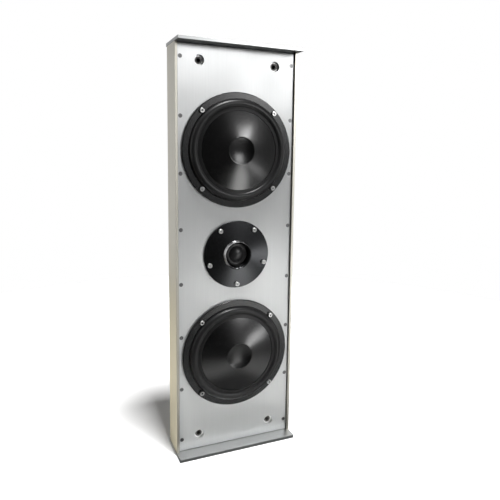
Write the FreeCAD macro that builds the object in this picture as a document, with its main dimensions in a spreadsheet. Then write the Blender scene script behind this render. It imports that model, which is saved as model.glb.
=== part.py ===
import FreeCAD, Part
import math
import os
import re

import Sketcher
from FreeCAD import Placement, Rotation, Vector

# Wall speaker: a shallow aluminium column with two woofers and a dome tweeter between flat end plates.
# Millimetres. X runs to the right, Y to the back and Z up. The end plates are centred on Y = 0 and the
# underside of the bottom plate lies at Z = 0. Drivers are turned about an axis along Y.

DOCUMENT_NAME = "wall_speaker"
SHEET = "Sizes"
ANSWER_CELL = "A1"

# Driving sizes, each set by itself.
SIZES = {
    # Cabinet
    "side_margin": 9.6,
    "inside_height": 612.0,
    "cabinet_depth": 48.0,
    "plate_overhang": 23.0,
    "plate_thick": 5.0,
    "wall": 4.0,
    "wall_lip": 4.0,
    "fold_inner_radius": 2.0,
    "edge_break": 0.4,
    "baffle_thick": 6.0,
    "panel_gap": 0.3,
    "seal_thick": 1.0,
    "rail_side": 9.0,
    # Countersunk screws
    "flat_screw_dia": 3.0,
    "flat_head_dia": 6.0,
    "flat_screw_length": 14.0,
    "flat_key": 2.0,
    "flat_key_depth": 1.0,
    "tap_run": 1.0,
    "baffle_screw_inset": 18.6,
    "hole_play": 0.2,
    # Socket-head cap screws of the drivers
    "cap_screw_dia": 4.0,
    "cap_head_dia": 7.0,
    "cap_head_height": 4.0,
    "cap_key": 3.0,
    "cap_key_depth": 2.2,
    "cap_screw_length": 9.0,
    # Peg sockets at the corners of the baffle
    "socket_x": 58.8,
    "socket_inset": 22.0,
    "socket_dia": 15.0,
    "bush_spigot": 1.0,
    "bush_flange_dia": 20.0,
    "bush_flange_thick": 2.5,
    "bush_length": 10.0,
    "insert_dia": 10.5,
    "insert_wall": 2.2,
    "insert_floor": 2.0,
    # Woofers
    "driver_spacing": 157.5,
    "woofer_flange_dia": 170.8,
    "woofer_flange_thick": 4.0,
    "flange_round": 1.2,
    "flange_land": 9.4,
    "flange_screw_edge": 5.9,
    "basket_clear": 0.5,
    "basket_wall": 2.5,
    "basket_depth": 16.5,
    "basket_barrel": 11.5,
    "basket_floor_dia": 96.0,
    "basket_bore": 54.0,
    "ledge_set": 1.5,
    "ledge_width": 4.5,
    "ledge_height": 5.5,
    "window_rim": 1.5,
    "window_width": 26.0,
    "surround_seat": 1.2,
    "surround_foot": 3.0,
    "surround_play": 0.3,
    "rubber": 1.0,
    "roll_radius": 6.6,
    "roll_span": 11.0,
    "roll_set": 1.0,
    "lip_width": 5.5,
    "cone_lift": 4.4,
    "cone_rise": 10.6,
    "cone_set": 0.5,
    "cone_thick": 1.2,
    "cap_rim": 1.5,
    "cap_thick": 0.8,
    "cap_dip": 6.0,
    "cap_play": 0.1,
    "former_dia": 38.0,
    "former_wall": 0.6,
    "coil_length": 9.0,
    "coil_build": 0.9,
    "coil_gap": 0.7,
    "spider_thick": 0.6,
    "spider_wave": 1.4,
    "spider_collar": 2.0,
    "washer_dia": 80.0,
    "washer_thick": 5.0,
    "magnet_dia": 88.0,
    "magnet_bore": 48.0,
    "magnet_thick": 12.0,
    "yoke_dia": 80.0,
    "yoke_thick": 5.0,
    "strip_width": 16.0,
    "strip_thick": 4.0,
    "strip_depth": 6.0,
    "strip_gap": 1.0,
    "tag_width": 3.0,
    "tag_reach": 4.0,
    "tag_thick": 0.8,
    # Tweeter
    "face_dia": 104.0,
    "face_rim": 3.0,
    "face_round": 0.8,
    "face_rise": 3.0,
    "mouth_rise": 3.6,
    "mouth_width": 2.9,
    "mouth_round": 0.7,
    "face_opening": 39.6,
    "face_throat": 34.0,
    "face_throat_depth": 5.5,
    "face_screw_edge": 6.0,
    "spot_play": 0.5,
    "dome_dia": 25.2,
    "dome_height": 5.0,
    "film": 0.5,
    "film_roll": 2.0,
    "roll_flat": 0.4,
    "film_inset": 2.0,
    "voice_wall": 0.5,
    "voice_length": 6.5,
    "voice_gap": 0.6,
    "tweeter_washer_dia": 72.0,
    "tweeter_washer_thick": 4.0,
    "tweeter_magnet_bore": 34.0,
    "tweeter_magnet_thick": 10.0,
    "tweeter_yoke_thick": 4.0,
    "tweeter_play": 1.0,
    "pole_drop": 0.5,
    "tweeter_strip_side": 16.0,
    "tweeter_strip_low": 20.0,
    # Terminal cup in the back
    "cup_z": 42.0,
    "cup_width": 66.0,
    "cup_height": 42.0,
    "cup_front": 26.5,
    "cup_wall": 2.0,
    "cup_flange": 7.0,
    "post_spacing": 19.0,
    "post_dia": 10.0,
    "post_collar_dia": 12.0,
    "post_collar": 3.0,
    "post_inset": 3.5,
    "post_stud_dia": 4.0,
    "post_stud": 7.0,
    "nut_flats": 7.0,
    "nut_thick": 3.0,
    "cup_screw_length": 9.0,
    # Crossover
    "board_clear": 9.5,
    "board_height": 58.0,
    "board_thick": 1.6,
    "spacer_height": 6.0,
    "spacer_dia": 6.0,
    "spacer_pin_dia": 3.0,
    "spacer_pin_head_dia": 4.6,
    "spacer_pin_head": 1.2,
    "spacer_inset": 5.0,
    "coil_dia": 34.0,
    "coil_bore": 14.0,
    "coil_height": 13.0,
    "coil_x": 27.0,
    "coil_drop": 8.0,
    "capacitor_dia": 13.0,
    "capacitor_length": 28.0,
    "capacitor_x": 24.0,
    "capacitor_lift": 18.0,
    # Wall fixing
    "hanger_x": 60.0,
    "hanger_drop": 62.0,
    "hanger_head_dia": 11.0,
    "hanger_slot": 5.5,
    "hanger_travel": 11.0,
    "hanger_cup_depth": 9.0,
    "hanger_cup_wall": 1.2,
    "hanger_cup_margin": 6.0,
    # Wadding and leads
    "wadding_front": 9.0,
    "wadding_play": 0.3,
    "wadding_clear": 14.2,
    "lead_dia": 3.0,
    "lead_bend": 9.0,
    "lead_leave": 9.5,
    "lead_rail_gap": 10.0,
    "lead_run": 17.0,
    "lead_spread": 16.0,
    "lead_drop": 44.0,
    "lead_back": 8.0,
    "lead_climb": 24.0,
    "lead_rise": 30.0,
}

# Places worked out from the driving sizes.
PLACES = {
    "outer_width": "woofer_flange_dia + 2 * side_margin",
    "back_face": "(plate_overhang + cabinet_depth) / 2",
    "front_edge": "-back_face",
    "baffle_front": "back_face - cabinet_depth",
    "baffle_back": "baffle_front + baffle_thick",
    "back_inner": "back_face - wall",
    "inner_half": "outer_width / 2 - wall",
    "top_z": "inside_height + 2 * plate_thick",
    "mid_z": "top_z / 2",
    "rail_x": "inner_half - rail_side / 2",
    "front_rail_y": "baffle_back + seal_thick + rail_side / 2",
    "rear_rail_y": "back_inner - fold_inner_radius - rail_side / 2",
    "screw_pitch": "(inside_height - 2 * baffle_screw_inset) / 7",
    "socket_z": "inside_height / 2 - socket_inset",
    "upper_z": "mid_z + driver_spacing",
    "lower_z": "mid_z - driver_spacing",
    "woofer_front": "baffle_front - woofer_flange_thick",
    "woofer_cutout_dia": "woofer_flange_dia - 2 * flange_land",
    "woofer_screw_circle": "woofer_flange_dia - 2 * flange_screw_edge",
    "barrel_out": "woofer_cutout_dia / 2 - basket_clear",
    "barrel_in": "barrel_out - basket_wall",
    "barrel_back": "baffle_front + basket_barrel",
    "basket_back": "baffle_front + basket_depth",
    "basket_inner": "basket_back - basket_wall",
    "ledge_in": "basket_floor_dia / 2 + ledge_set",
    "ledge_out": "ledge_in + ledge_width",
    "ledge_front": "basket_inner - ledge_height",
    "seat_y": "woofer_front + surround_seat",
    "foot_front": "seat_y - rubber",
    "foot_out": "barrel_in + surround_foot",
    "roll_out": "foot_out - roll_set",
    "cone_r": "roll_out - roll_span",
    "cone_edge": "woofer_front - cone_lift",
    "cone_neck": "cone_edge - cone_rise",
    "former_out": "former_dia / 2",
    "former_in": "former_out - former_wall",
    "cap_r": "former_out + cap_rim",
    "cone_slope": "cone_rise / (cone_r - former_out)",
    "lip_r": "cone_r - lip_width",
    "lip_back": "cone_edge - lip_width * cone_slope",
    "coil_out": "former_out + coil_build",
    "gap_mid": "basket_back + washer_thick / 2",
    "washer_back": "basket_back + washer_thick",
    "magnet_back": "washer_back + magnet_thick",
    "yoke_back": "magnet_back + yoke_thick",
    "strip_in": "washer_dia / 2 + strip_gap",
    "strip_out": "strip_in + strip_depth",
    "face_front": "baffle_front - face_rim",
    "face_screw_circle": "face_dia - 2 * face_screw_edge",
    "film_ring_r": "tweeter_washer_dia / 2 - film_inset",
    "face_top": "face_front - face_rise",
    "mouth_top": "face_top - mouth_rise",
    "throat_y": "mouth_top + face_throat_depth",
    "dome_r": "dome_dia / 2",
    "film_back": "baffle_front + film",
    "throat_r": "face_throat / 2",
    "dome_foot": "baffle_front - film",
    "voice_back": "dome_foot + film + voice_length",
    "tweeter_washer_back": "film_back + tweeter_washer_thick",
    "tweeter_magnet_back": "tweeter_washer_back + tweeter_magnet_thick",
    "tweeter_yoke_back": "tweeter_magnet_back + tweeter_yoke_thick",
    "tweeter_strip_x": "tweeter_washer_dia / 2 - tweeter_strip_side",
    "tweeter_strip_drop": "tweeter_washer_dia / 2 - tweeter_strip_low",
    "cup_depth": "cabinet_depth - wall - cup_front",
    "post_length": "cup_depth - cup_wall + wall - post_inset",
    "cup_floor": "back_inner - cup_depth",
    "cup_inner_floor": "cup_floor + cup_wall",
    "lead_x": "inner_half - rail_side - lead_rail_gap",
    "board_width": "2 * (lead_x - lead_run)",
    "board_z": "lower_z + magnet_dia / 2 + board_clear + board_height / 2",
    "board_back": "back_inner - spacer_height",
    "board_front": "board_back - board_thick",
    "hanger_z": "top_z - hanger_drop",
    "hanger_half": "hanger_head_dia / 2 + hanger_cup_margin",
    "stud_front": "cup_floor - post_stud",
    "lead_r": "lead_dia / 2",
}

SCREWS_PER_SIDE = 8
BASKET_WINDOWS = 6
SPIDER_WAVES = 8
TWEETER_SCREWS = 5
FLIPPED = Rotation(Vector(1, 0, 0), 180)

doc = FreeCAD.newDocument(DOCUMENT_NAME)
sheet = doc.addObject("Spreadsheet::Sheet", SHEET)
answers = doc.addObject("Spreadsheet::Sheet", "Answers")
parts = []


def fill_sheet():
    """Write driving sizes as plain numbers and places as formulas, each under its own alias."""
    rows = [(name, str(size)) for name, size in SIZES.items()]
    rows += [(name, "=" + formula) for name, formula in PLACES.items()]
    for row, (name, text) in enumerate(rows, 1):
        sheet.set("A%d" % row, name)
        sheet.set("B%d" % row, text)
        sheet.setAlias("B%d" % row, name)
    doc.recompute()


def number(text):
    """Return the present value of a formula in the sheet's names."""
    answers.set(ANSWER_CELL, "=" + linked(text))
    answers.recompute()
    return float(answers.get(ANSWER_CELL))


def linked(text):
    """Return a formula whose names point at the sheet, for an object's expression."""
    return re.sub(r"[A-Za-z_]\w*(?!\w*\()", lambda word: SHEET + "." + word.group(0), text)


def place(item, x="0", y="0", z="0", rotation=Rotation()):
    """Put an object at a place given by three formulas and keep it bound to them."""
    item.Placement = Placement(Vector(number(x), number(y), number(z)), rotation)
    for axis, text in zip("xyz", (x, y, z)):
        item.setExpression("Placement.Base." + axis, linked(text))
    return item


def keep(item, label):
    """Name an object as a sub-part of the speaker."""
    item.Label = label
    parts.append(item)
    return item


def new_body(name, x="0", y="0", z="0", rotation=Rotation()):
    """Start a body whose own origin lies at the given place."""
    body = doc.addObject("PartDesign::Body", name)
    return place(body, x, y, z, rotation)


def origin_feature(body, role):
    """Return one of a body's own origin planes or axes."""
    return next(item for item in body.Origin.OriginFeatures if item.Role == role)


def new_sketch(body, name, role, offset="0"):
    """Start a sketch on one of the body's origin planes, moved along that plane's normal by a formula."""
    sketch = body.newObject("Sketcher::SketchObject", name)
    sketch.AttachmentSupport = (origin_feature(body, role), "")
    sketch.MapMode = "FlatFace"
    sketch.AttachmentOffset = Placement(Vector(0, 0, number(offset)), Rotation())
    sketch.setExpression("AttachmentOffset.Base.z", linked(offset))
    return sketch


def pin_point(sketch, edge, end, x, y):
    """Tie a sketch point to two formulas, or to an axis where a formula is zero."""
    for kind, axis, text in (("DistanceX", -2, x), ("DistanceY", -1, y)):
        if text == "0":
            sketch.addConstraint(Sketcher.Constraint("PointOnObject", edge, end, axis))
            continue
        index = sketch.addConstraint(Sketcher.Constraint(kind, -1, 1, edge, end, number(text)))
        sketch.setExpression("Constraints[%d]" % index, linked(text))


def arc_between(start, end, radius, turn):
    """Return the shorter arc from start to end; turn is 1 to go round anticlockwise, -1 for clockwise."""
    chord = end - start
    half = chord.Length / 2
    rise = (radius * radius - half * half) ** 0.5
    side = Vector(-chord.y, chord.x, 0).normalize()
    centre = (start + end) / 2 + side * rise * turn
    middle = centre - side * radius * turn
    return Part.Arc(start, middle, end)


def outline(sketch, points):
    """Draw a closed outline. A point is (x, y), or (x, y, radius, turn) where an arc leads to it."""
    spots = [Vector(number(point[0]), number(point[1]), 0) for point in points]
    first = sketch.GeometryCount
    ends = []
    for index, point in enumerate(points):
        start, end = spots[index - 1], spots[index]
        curved = len(point) == 4
        if curved:
            edge = arc_between(start, end, number(point[2]), point[3])
        else:
            edge = Part.LineSegment(start, end)
        sketch.addGeometry(edge)
        ends.append((2, 1) if curved and point[3] < 0 else (1, 2))
    for index, point in enumerate(points):
        following = (index + 1) % len(points)
        edge = first + index
        last = ends[index][1]
        joined = Sketcher.Constraint("Coincident", edge, last, first + following, ends[following][0])
        sketch.addConstraint(joined)
        pin_point(sketch, edge, last, point[0], point[1])
        if len(point) == 4:
            radius = Sketcher.Constraint("Radius", edge, number(point[2]))
            sketch.setExpression("Constraints[%d]" % sketch.addConstraint(radius), linked(point[2]))


def rectangle(sketch, x0, y0, x1, y1):
    """Draw a rectangle between two corners given by formulas."""
    outline(sketch, [(x0, y0), (x1, y0), (x1, y1), (x0, y1)])


def circles(sketch, spots, radius):
    """Draw equal circles at the given spots."""
    first = sketch.GeometryCount
    for x, y in spots:
        centre = Vector(number(x), number(y), 0)
        edge = sketch.addGeometry(Part.Circle(centre, Vector(0, 0, 1), number(radius)))
        pin_point(sketch, edge, 3, x, y)
        index = sketch.addConstraint(Sketcher.Constraint("Radius", edge, number(radius)))
        sketch.setExpression("Constraints[%d]" % index, linked(radius))
    return first


def pad(body, sketch, length, backwards=False):
    """Raise a sketch by a formula."""
    feature = body.newObject("PartDesign::Pad", "Pad")
    feature.Profile = sketch
    feature.Reversed = backwards
    feature.setExpression("Length", linked(length))
    doc.recompute()
    return feature


def pocket(body, sketch, length="", backwards=False):
    """Cut a sketch into the body, right through where no length is given."""
    feature = body.newObject("PartDesign::Pocket", "Pocket")
    feature.Profile = sketch
    feature.Reversed = backwards
    if length:
        feature.setExpression("Length", linked(length))
    else:
        feature.Type = "ThroughAll"
    doc.recompute()
    return feature


def break_edges(body, feature, edges=()):
    """Take the sharp corner off some edges of a feature, or off all of them."""
    chamfer = body.newObject("PartDesign::Chamfer", "BrokenEdges")
    chamfer.Base = (feature, list(edges) or [""])
    chamfer.UseAllEdges = not edges
    chamfer.setExpression("Size", linked("edge_break"))
    doc.recompute()
    return chamfer


def countersunk_holes(body, sketch):
    """Drill and countersink a screw hole at each circle of a sketch."""
    doc.recompute()
    hole = body.newObject("PartDesign::Hole", "ScrewHoles")
    hole.Profile = sketch
    hole.DepthType = "ThroughAll"
    hole.HoleCutType = "Countersink"
    hole.HoleCutCustomValues = True
    hole.HoleCutCountersinkAngle = 90
    hole.setExpression("Diameter", linked("flat_screw_dia + hole_play"))
    hole.setExpression("HoleCutDiameter", linked("flat_head_dia + hole_play"))
    doc.recompute()
    return hole


def turned(name, points, x="0", y="0", z="0", rotation=Rotation()):
    """Turn an outline of (radius, depth) points about the body's Y axis."""
    body = new_body(name, x, y, z, rotation)
    sketch = new_sketch(body, "Profile", "XY_Plane")
    outline(sketch, points)
    feature = body.newObject("PartDesign::Revolution", "Turning")
    feature.Profile = sketch
    feature.ReferenceAxis = (sketch, ["V_Axis"])
    feature.Angle = 360
    doc.recompute()
    return body


def ring(name, inner, outer, front, back, z):
    """Turn a plain ring between two radii and two depths."""
    return turned(name, [(inner, front), (outer, front), (outer, back), (inner, back)], z=z)


def box(name, x0, y0, z0, x1, y1, z1):
    """Make a block between two corners given by formulas."""
    block = doc.addObject("Part::Box", name)
    for side, low, high in (("Length", x0, x1), ("Width", y0, y1), ("Height", z0, z1)):
        block.setExpression(side, linked("(%s) - (%s)" % (high, low)))
    return place(block, x0, y0, z0)


def group(label, master, spots):
    """Keep separate copies of one master piece as one sub-part; a spot is (x, y, z) or has a rotation too."""
    copies = []
    for index, spot in enumerate(spots):
        copy = doc.addObject("App::Link", "%s_%d" % (label, index + 1))
        copy.LinkedObject = master
        copies.append(place(copy, *spot))
    compound = doc.addObject("Part::Compound", label)
    compound.Links = copies
    return keep(compound, label)


def round_spots(radius, count, start, x="0", z="0"):
    """Return formula pairs for spots evenly round a circle, start being an angle in degrees."""
    angles = [start + 360.0 * index / count for index in range(count)]
    return [("%s + %s * cos(%g)" % (x, radius, a), "%s + %s * sin(%g)" % (z, radius, a)) for a in angles]


def hexagon(sketch, flats):
    """Draw a hexagon of the given width across flats round the sketch's origin."""
    outline(sketch, round_spots("(%s) / 2 / cos(30)" % flats, 6, 30.0))


def drive_recess(body, flats, depth, front):
    """Sink a hexagon key recess into a screw head whose front lies at a formula's depth."""
    sketch = new_sketch(body, "Key", "XZ_Plane", "-(%s)" % front)
    hexagon(sketch, flats)
    pocket(body, sketch, depth)


def flat_screw(name, length):
    """Turn a countersunk screw whose head is flush with Y = 0."""
    head, shank = "flat_head_dia / 2", "flat_screw_dia / 2"
    body = turned(name, [
        ("0", "0"), (head, "0"), (shank, head + " - " + shank), (shank, length), ("0", length)])
    drive_recess(body, "flat_key", "flat_key_depth", "0")
    return body


def cap_screw(name):
    """Turn a socket-head screw whose head seats on Y = 0."""
    head, shank = "cap_head_dia / 2", "cap_screw_dia / 2"
    body = turned(name, [
        ("0", "-cap_head_height"), (head, "-cap_head_height"), (head, "0"), (shank, "0"),
        (shank, "cap_screw_length"), ("0", "cap_screw_length")])
    drive_recess(body, "cap_key", "cap_key_depth", "-cap_head_height")
    return body


def baffle_screw_heights():
    """Return the heights of the baffle screws from the middle of the baffle."""
    half = (SCREWS_PER_SIDE - 1) / 2
    return ["%g * screw_pitch" % (index - half) for index in range(SCREWS_PER_SIDE)]


def cup_screw_spots():
    """Return the places of the terminal cup's screws from the cup's middle, across and up."""
    across = "(cup_width + cup_flange) / 2"
    up = "(cup_height + cup_flange) / 2"
    return [(sx + across, sz + up) for sx in ("-", "") for sz in ("-", "")]


def build_shell():
    """Fold the sides and back from one sheet, with keyholes and the terminal opening in the back."""
    body = new_body("shell")
    sketch = new_sketch(body, "Fold", "XY_Plane", "plate_thick")
    front = "baffle_front - wall_lip"
    outer, inner = "outer_width / 2", "inner_half"
    outer_bend, inner_bend = "fold_inner_radius + wall", "fold_inner_radius"
    outline(sketch, [
        ("-" + outer, front),
        ("-" + inner, front),
        ("-" + inner, "back_inner - " + inner_bend),
        ("-" + inner + " + " + inner_bend, "back_inner", inner_bend, -1),
        (inner + " - " + inner_bend, "back_inner"),
        (inner, "back_inner - " + inner_bend, inner_bend, -1),
        (inner, front),
        (outer, front),
        (outer, "back_inner - " + inner_bend),
        (inner + " - " + inner_bend, "back_face", outer_bend, 1),
        ("-" + inner + " + " + inner_bend, "back_face"),
        ("-" + outer, "back_inner - " + inner_bend, outer_bend, 1),
    ])
    sides = pad(body, sketch, "inside_height")
    lip = number(front) + number("edge_break")
    break_edges(body, sides, [
        "Edge%d" % index for index, edge in enumerate(sides.Shape.Edges, 1)
        if edge.BoundBox.YMax < lip and edge.BoundBox.ZLength > number("wall")])
    opening = new_sketch(body, "TerminalOpening", "XZ_Plane")
    rectangle(opening, "-cup_width / 2", "cup_z - cup_height / 2", "cup_width / 2", "cup_z + cup_height / 2")
    pocket(body, opening)
    for side in ("-", ""):
        head = new_sketch(body, "KeyholeHead", "XZ_Plane")
        circles(head, [(side + "hanger_x", "hanger_z")], "hanger_head_dia / 2")
        pocket(body, head)
        slot = new_sketch(body, "KeyholeSlot", "XZ_Plane")
        left = side + "hanger_x - hanger_slot / 2"
        right = side + "hanger_x + hanger_slot / 2"
        top = "hanger_z + hanger_travel"
        outline(slot, [
            (left, "hanger_z"), (right, "hanger_z"), (right, top),
            (left, top, "hanger_slot * 0.502", 1)])
        pocket(body, slot)
    holes = new_sketch(body, "CupScrewHoles", "XZ_Plane", "-back_face")
    circles(holes, [(x, "cup_z + " + z) for x, z in cup_screw_spots()], "flat_screw_dia / 2")
    doc.recompute()
    countersunk_holes(body, holes).Reversed = True
    keep(body, "shell")


def build_baffle():
    """Mill the front panel: driver cut-outs, peg sockets, countersunk edge screws and driver screw holes."""
    body = new_body("baffle", y="baffle_front", z="mid_z")
    sketch = new_sketch(body, "Panel", "XZ_Plane")
    half, tall = "(inner_half - panel_gap)", "(inside_height / 2 - panel_gap)"
    rectangle(sketch, "-" + half, "-" + tall, half, tall)
    break_edges(body, pad(body, sketch, "baffle_thick", True))
    woofers = new_sketch(body, "WooferCutouts", "XZ_Plane")
    circles(woofers, [("0", "driver_spacing"), ("0", "-driver_spacing")], "woofer_cutout_dia / 2")
    pocket(body, woofers)
    tweeter = new_sketch(body, "TweeterCutout", "XZ_Plane")
    circles(tweeter, [("0", "0")], "tweeter_washer_dia / 2 + tweeter_play")
    pocket(body, tweeter)
    sockets = new_sketch(body, "Sockets", "XZ_Plane")
    circles(sockets, [(sx + "socket_x", sz + "socket_z") for sx in ("-", "") for sz in ("-", "")],
            "socket_dia / 2")
    pocket(body, sockets)
    taps = new_sketch(body, "DriverScrewHoles", "XZ_Plane")
    spots = round_spots("woofer_screw_circle / 2", 4, 45.0, z="driver_spacing")
    spots += round_spots("woofer_screw_circle / 2", 4, 45.0, z="-driver_spacing")
    spots += round_spots("face_screw_circle / 2", TWEETER_SCREWS, -90.0)
    circles(taps, spots, "(cap_screw_dia + hole_play) / 2")
    pocket(body, taps)
    edge = new_sketch(body, "EdgeScrews", "XZ_Plane")
    circles(edge, [(side + "rail_x", up) for side in ("-", "") for up in baffle_screw_heights()],
            "flat_screw_dia / 2")
    countersunk_holes(body, edge)
    keep(body, "baffle")


def plate_screw_spots():
    """Return the places of the end-plate screws, one above each rail."""
    return [(side + "rail_x", depth) for side in ("-", "") for depth in ("front_rail_y", "rear_rail_y")]


def build_plate(label, z, rotation):
    """Cut an end plate; its outer face is the body's own XY plane."""
    body = new_body(label, z=z, rotation=rotation)
    sketch = new_sketch(body, "Plate", "XY_Plane")
    rectangle(sketch, "-outer_width / 2", "front_edge", "outer_width / 2", "back_face")
    break_edges(body, pad(body, sketch, "plate_thick", True))
    holes = new_sketch(body, "ScrewSpots", "XY_Plane")
    turn = "-" if rotation.Angle else ""
    circles(holes, [(x, turn + y) for x, y in plate_screw_spots()], "flat_screw_dia / 2")
    countersunk_holes(body, holes)
    keep(body, label)


def build_rail(label, x, y, drilled):
    """Cut a square rail between the end plates, tapped in both ends and, behind the baffle, along its face."""
    body = new_body(label, x, y, "plate_thick")
    sketch = new_sketch(body, "Section", "XY_Plane")
    rectangle(sketch, "-rail_side / 2", "-rail_side / 2", "rail_side / 2", "rail_side / 2")
    pad(body, sketch, "inside_height")
    bore = "(flat_screw_dia + hole_play) / 2"
    depth = "flat_screw_length - plate_thick + tap_run"
    lower = new_sketch(body, "LowerTap", "XY_Plane")
    circles(lower, [("0", "0")], bore)
    pocket(body, lower, depth, True)
    upper = new_sketch(body, "UpperTap", "XY_Plane", "inside_height")
    circles(upper, [("0", "0")], bore)
    pocket(body, upper, depth)
    if drilled:
        face = new_sketch(body, "FaceTaps", "XZ_Plane", "rail_side / 2")
        circles(face, [("0", "inside_height / 2 + " + up) for up in baffle_screw_heights()], bore)
        pocket(body, face)
    keep(body, label)


def build_seals():
    """Cut the foam strips between the baffle and its rails, holed for the baffle screws."""
    strip = new_body("seal_strip", y="baffle_back", z="mid_z")
    sketch = new_sketch(strip, "Strip", "XZ_Plane")
    rectangle(sketch, "-rail_side / 2", "-inside_height / 2", "rail_side / 2", "inside_height / 2")
    pad(strip, sketch, "seal_thick", True)
    holes = new_sketch(strip, "Holes", "XZ_Plane")
    circles(holes, [("0", up) for up in baffle_screw_heights()], "(flat_screw_dia + hole_play) / 2")
    pocket(strip, holes)
    group("baffle_seals", strip, [(side + "rail_x", "baffle_back", "mid_z") for side in ("-", "")])


def build_cabinet_screws():
    """Place the countersunk screws of the baffle and of both end plates."""
    screw = flat_screw("flat_screw", "flat_screw_length")
    group("baffle_screws", screw, [
        (side + "rail_x", "baffle_front", "mid_z + " + up)
        for side in ("-", "") for up in baffle_screw_heights()])
    down, up = Rotation(Vector(1, 0, 0), -90), Rotation(Vector(1, 0, 0), 90)
    spots = [(x, y, "top_z", down) for x, y in plate_screw_spots()]
    spots += [(x, y, "0", up) for x, y in plate_screw_spots()]
    group("plate_screws", screw, spots)


def build_sockets():
    """Turn the peg sockets: a metal bush set into the baffle from behind and a blind rubber insert in it."""
    outer, bore = "socket_dia / 2 - hole_play / 2", "insert_dia / 2"
    bush = turned("bush", [
        (bore, "-bush_spigot"), (outer, "-bush_spigot"), (outer, "0"),
        ("bush_flange_dia / 2", "0"), ("bush_flange_dia / 2", "bush_flange_thick"),
        (outer, "bush_flange_thick"), (outer, "bush_length"), (bore, "bush_length")])
    peg = bore + " - insert_wall"
    insert = turned("insert", [
        (bore, "-bush_spigot"), (bore, "bush_length"), ("0", "bush_length"),
        ("0", "bush_length - insert_floor"), (peg, "bush_length - insert_floor"), (peg, "-bush_spigot")])
    spots = [(sx + "socket_x", "baffle_back", "mid_z + " + sz + "socket_z")
             for sx in ("-", "") for sz in ("-", "")]
    group("socket_bushes", bush, spots)
    group("socket_inserts", insert, spots)


def build_basket(label, z):
    """Cast a woofer basket: flange, barrel, windowed pan with a spider ledge, and a floor for the motor."""
    rim = "foot_out + surround_play"
    body = turned(label, [
        ("barrel_in", "seat_y"), (rim, "seat_y"), (rim, "woofer_front"),
        ("woofer_flange_dia / 2 - flange_round", "woofer_front"),
        ("woofer_flange_dia / 2", "woofer_front + flange_round", "flange_round", 1),
        ("woofer_flange_dia / 2", "baffle_front"),
        ("barrel_out", "baffle_front"), ("barrel_out", "barrel_back"),
        ("basket_floor_dia / 2", "basket_back"), ("basket_bore / 2", "basket_back"),
        ("basket_bore / 2", "basket_inner"), ("ledge_in", "basket_inner"), ("ledge_in", "ledge_front"),
        ("ledge_out", "ledge_front"), ("ledge_out", "basket_inner - basket_wall / 2"),
        ("barrel_in", "barrel_back - basket_wall")], z=z)
    holes = new_sketch(body, "FlangeHoles", "XZ_Plane", "-woofer_front")
    circles(holes, round_spots("woofer_screw_circle / 2", 4, 45.0), "(cap_screw_dia + hole_play) / 2")
    pocket(body, holes)
    window = new_sketch(body, "Window", "XZ_Plane", "-woofer_front")
    low, high = "ledge_out + window_rim", "barrel_in - window_rim"
    narrow = "window_width / 2 * (%s) / (%s)" % (low, high)
    outline(window, [
        ("-" + narrow, low), (narrow, low), ("window_width / 2", high), ("-window_width / 2", high)])
    cut = pocket(body, window)
    pattern = body.newObject("PartDesign::PolarPattern", "Windows")
    pattern.Originals = [cut]
    pattern.Axis = (origin_feature(body, "Y_Axis"), [""])
    pattern.Angle = 360
    pattern.Occurrences = BASKET_WINDOWS
    body.Tip = pattern
    doc.recompute()
    keep(body, label)


def build_surround(label, z):
    """Mould the rubber surround: a foot on the basket, a half roll and a lip on the cone."""
    keep(turned(label, [
        ("barrel_in", "seat_y", "roll_radius - rubber * 0.9", 1),
        ("foot_out", "seat_y"),
        ("foot_out", "foot_front"),
        ("roll_out", "foot_front"),
        ("cone_r - cone_set", "cone_edge - rubber", "roll_radius", -1),
        ("lip_r", "lip_back - rubber"),
        ("lip_r", "lip_back"),
        ("cone_r", "cone_edge")], z=z), label)


def build_cone(label, z):
    """Spin the convex cone, highest at the neck where the voice coil's former meets it."""
    keep(turned(label, [
        ("former_out", "cone_neck"), ("cone_r", "cone_edge"),
        ("cone_r", "cone_edge + cone_thick"), ("former_out", "cone_neck + cone_thick")], z=z), label)


def build_dust_cap(label, z):
    """Press the dished dust cap, whose rim lies on the cone's neck."""
    rim = "cone_neck - cap_thick"
    bowl = "(former_in - cap_play)"
    dish = "(%s - cap_thick)" % bowl
    radius = "(%s * %s + cap_dip * cap_dip) / (2 * cap_dip)"
    keep(turned(label, [
        ("0", "cone_neck + cap_dip", radius % (bowl, bowl), 1),
        ("0", rim + " + cap_dip"),
        (dish, rim, radius % (dish, dish), -1),
        ("cap_r", rim),
        ("cap_r", "cone_neck"),
        (bowl, "cone_neck")], z=z), label)


def build_voice_coil(label, z):
    """Wind the coil at the back of its former, centred in the magnet gap."""
    start, stop = "gap_mid - coil_length / 2", "gap_mid + coil_length / 2"
    keep(turned(label, [
        ("former_in", "cone_neck"), ("former_out", "cone_neck"), ("former_out", start),
        ("coil_out", start), ("coil_out", stop), ("former_in", stop)], z=z), label)


def build_spider(label, z):
    """Press the corrugated spider from a collar on the former to the ledge in the basket."""
    inner, rise = "former_out + spider_collar", "spider_wave"
    span = "(ledge_in - (%s))" % inner
    level = "ledge_front - spider_thick"
    front = [("former_out", level), (inner, level)]
    for index in range(1, 2 * SPIDER_WAVES):
        height = "%s - (%d) * %s" % (level, index % 2, rise)
        front.append(("%s + %s * %g" % (inner, span, index / (2.0 * SPIDER_WAVES)), height))
    front.append(("ledge_in", level))
    front.append(("ledge_out", level))
    back = [(x, y + " + spider_thick") for x, y in reversed(front)]
    keep(turned(label, front + back, z=z), label)


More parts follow.
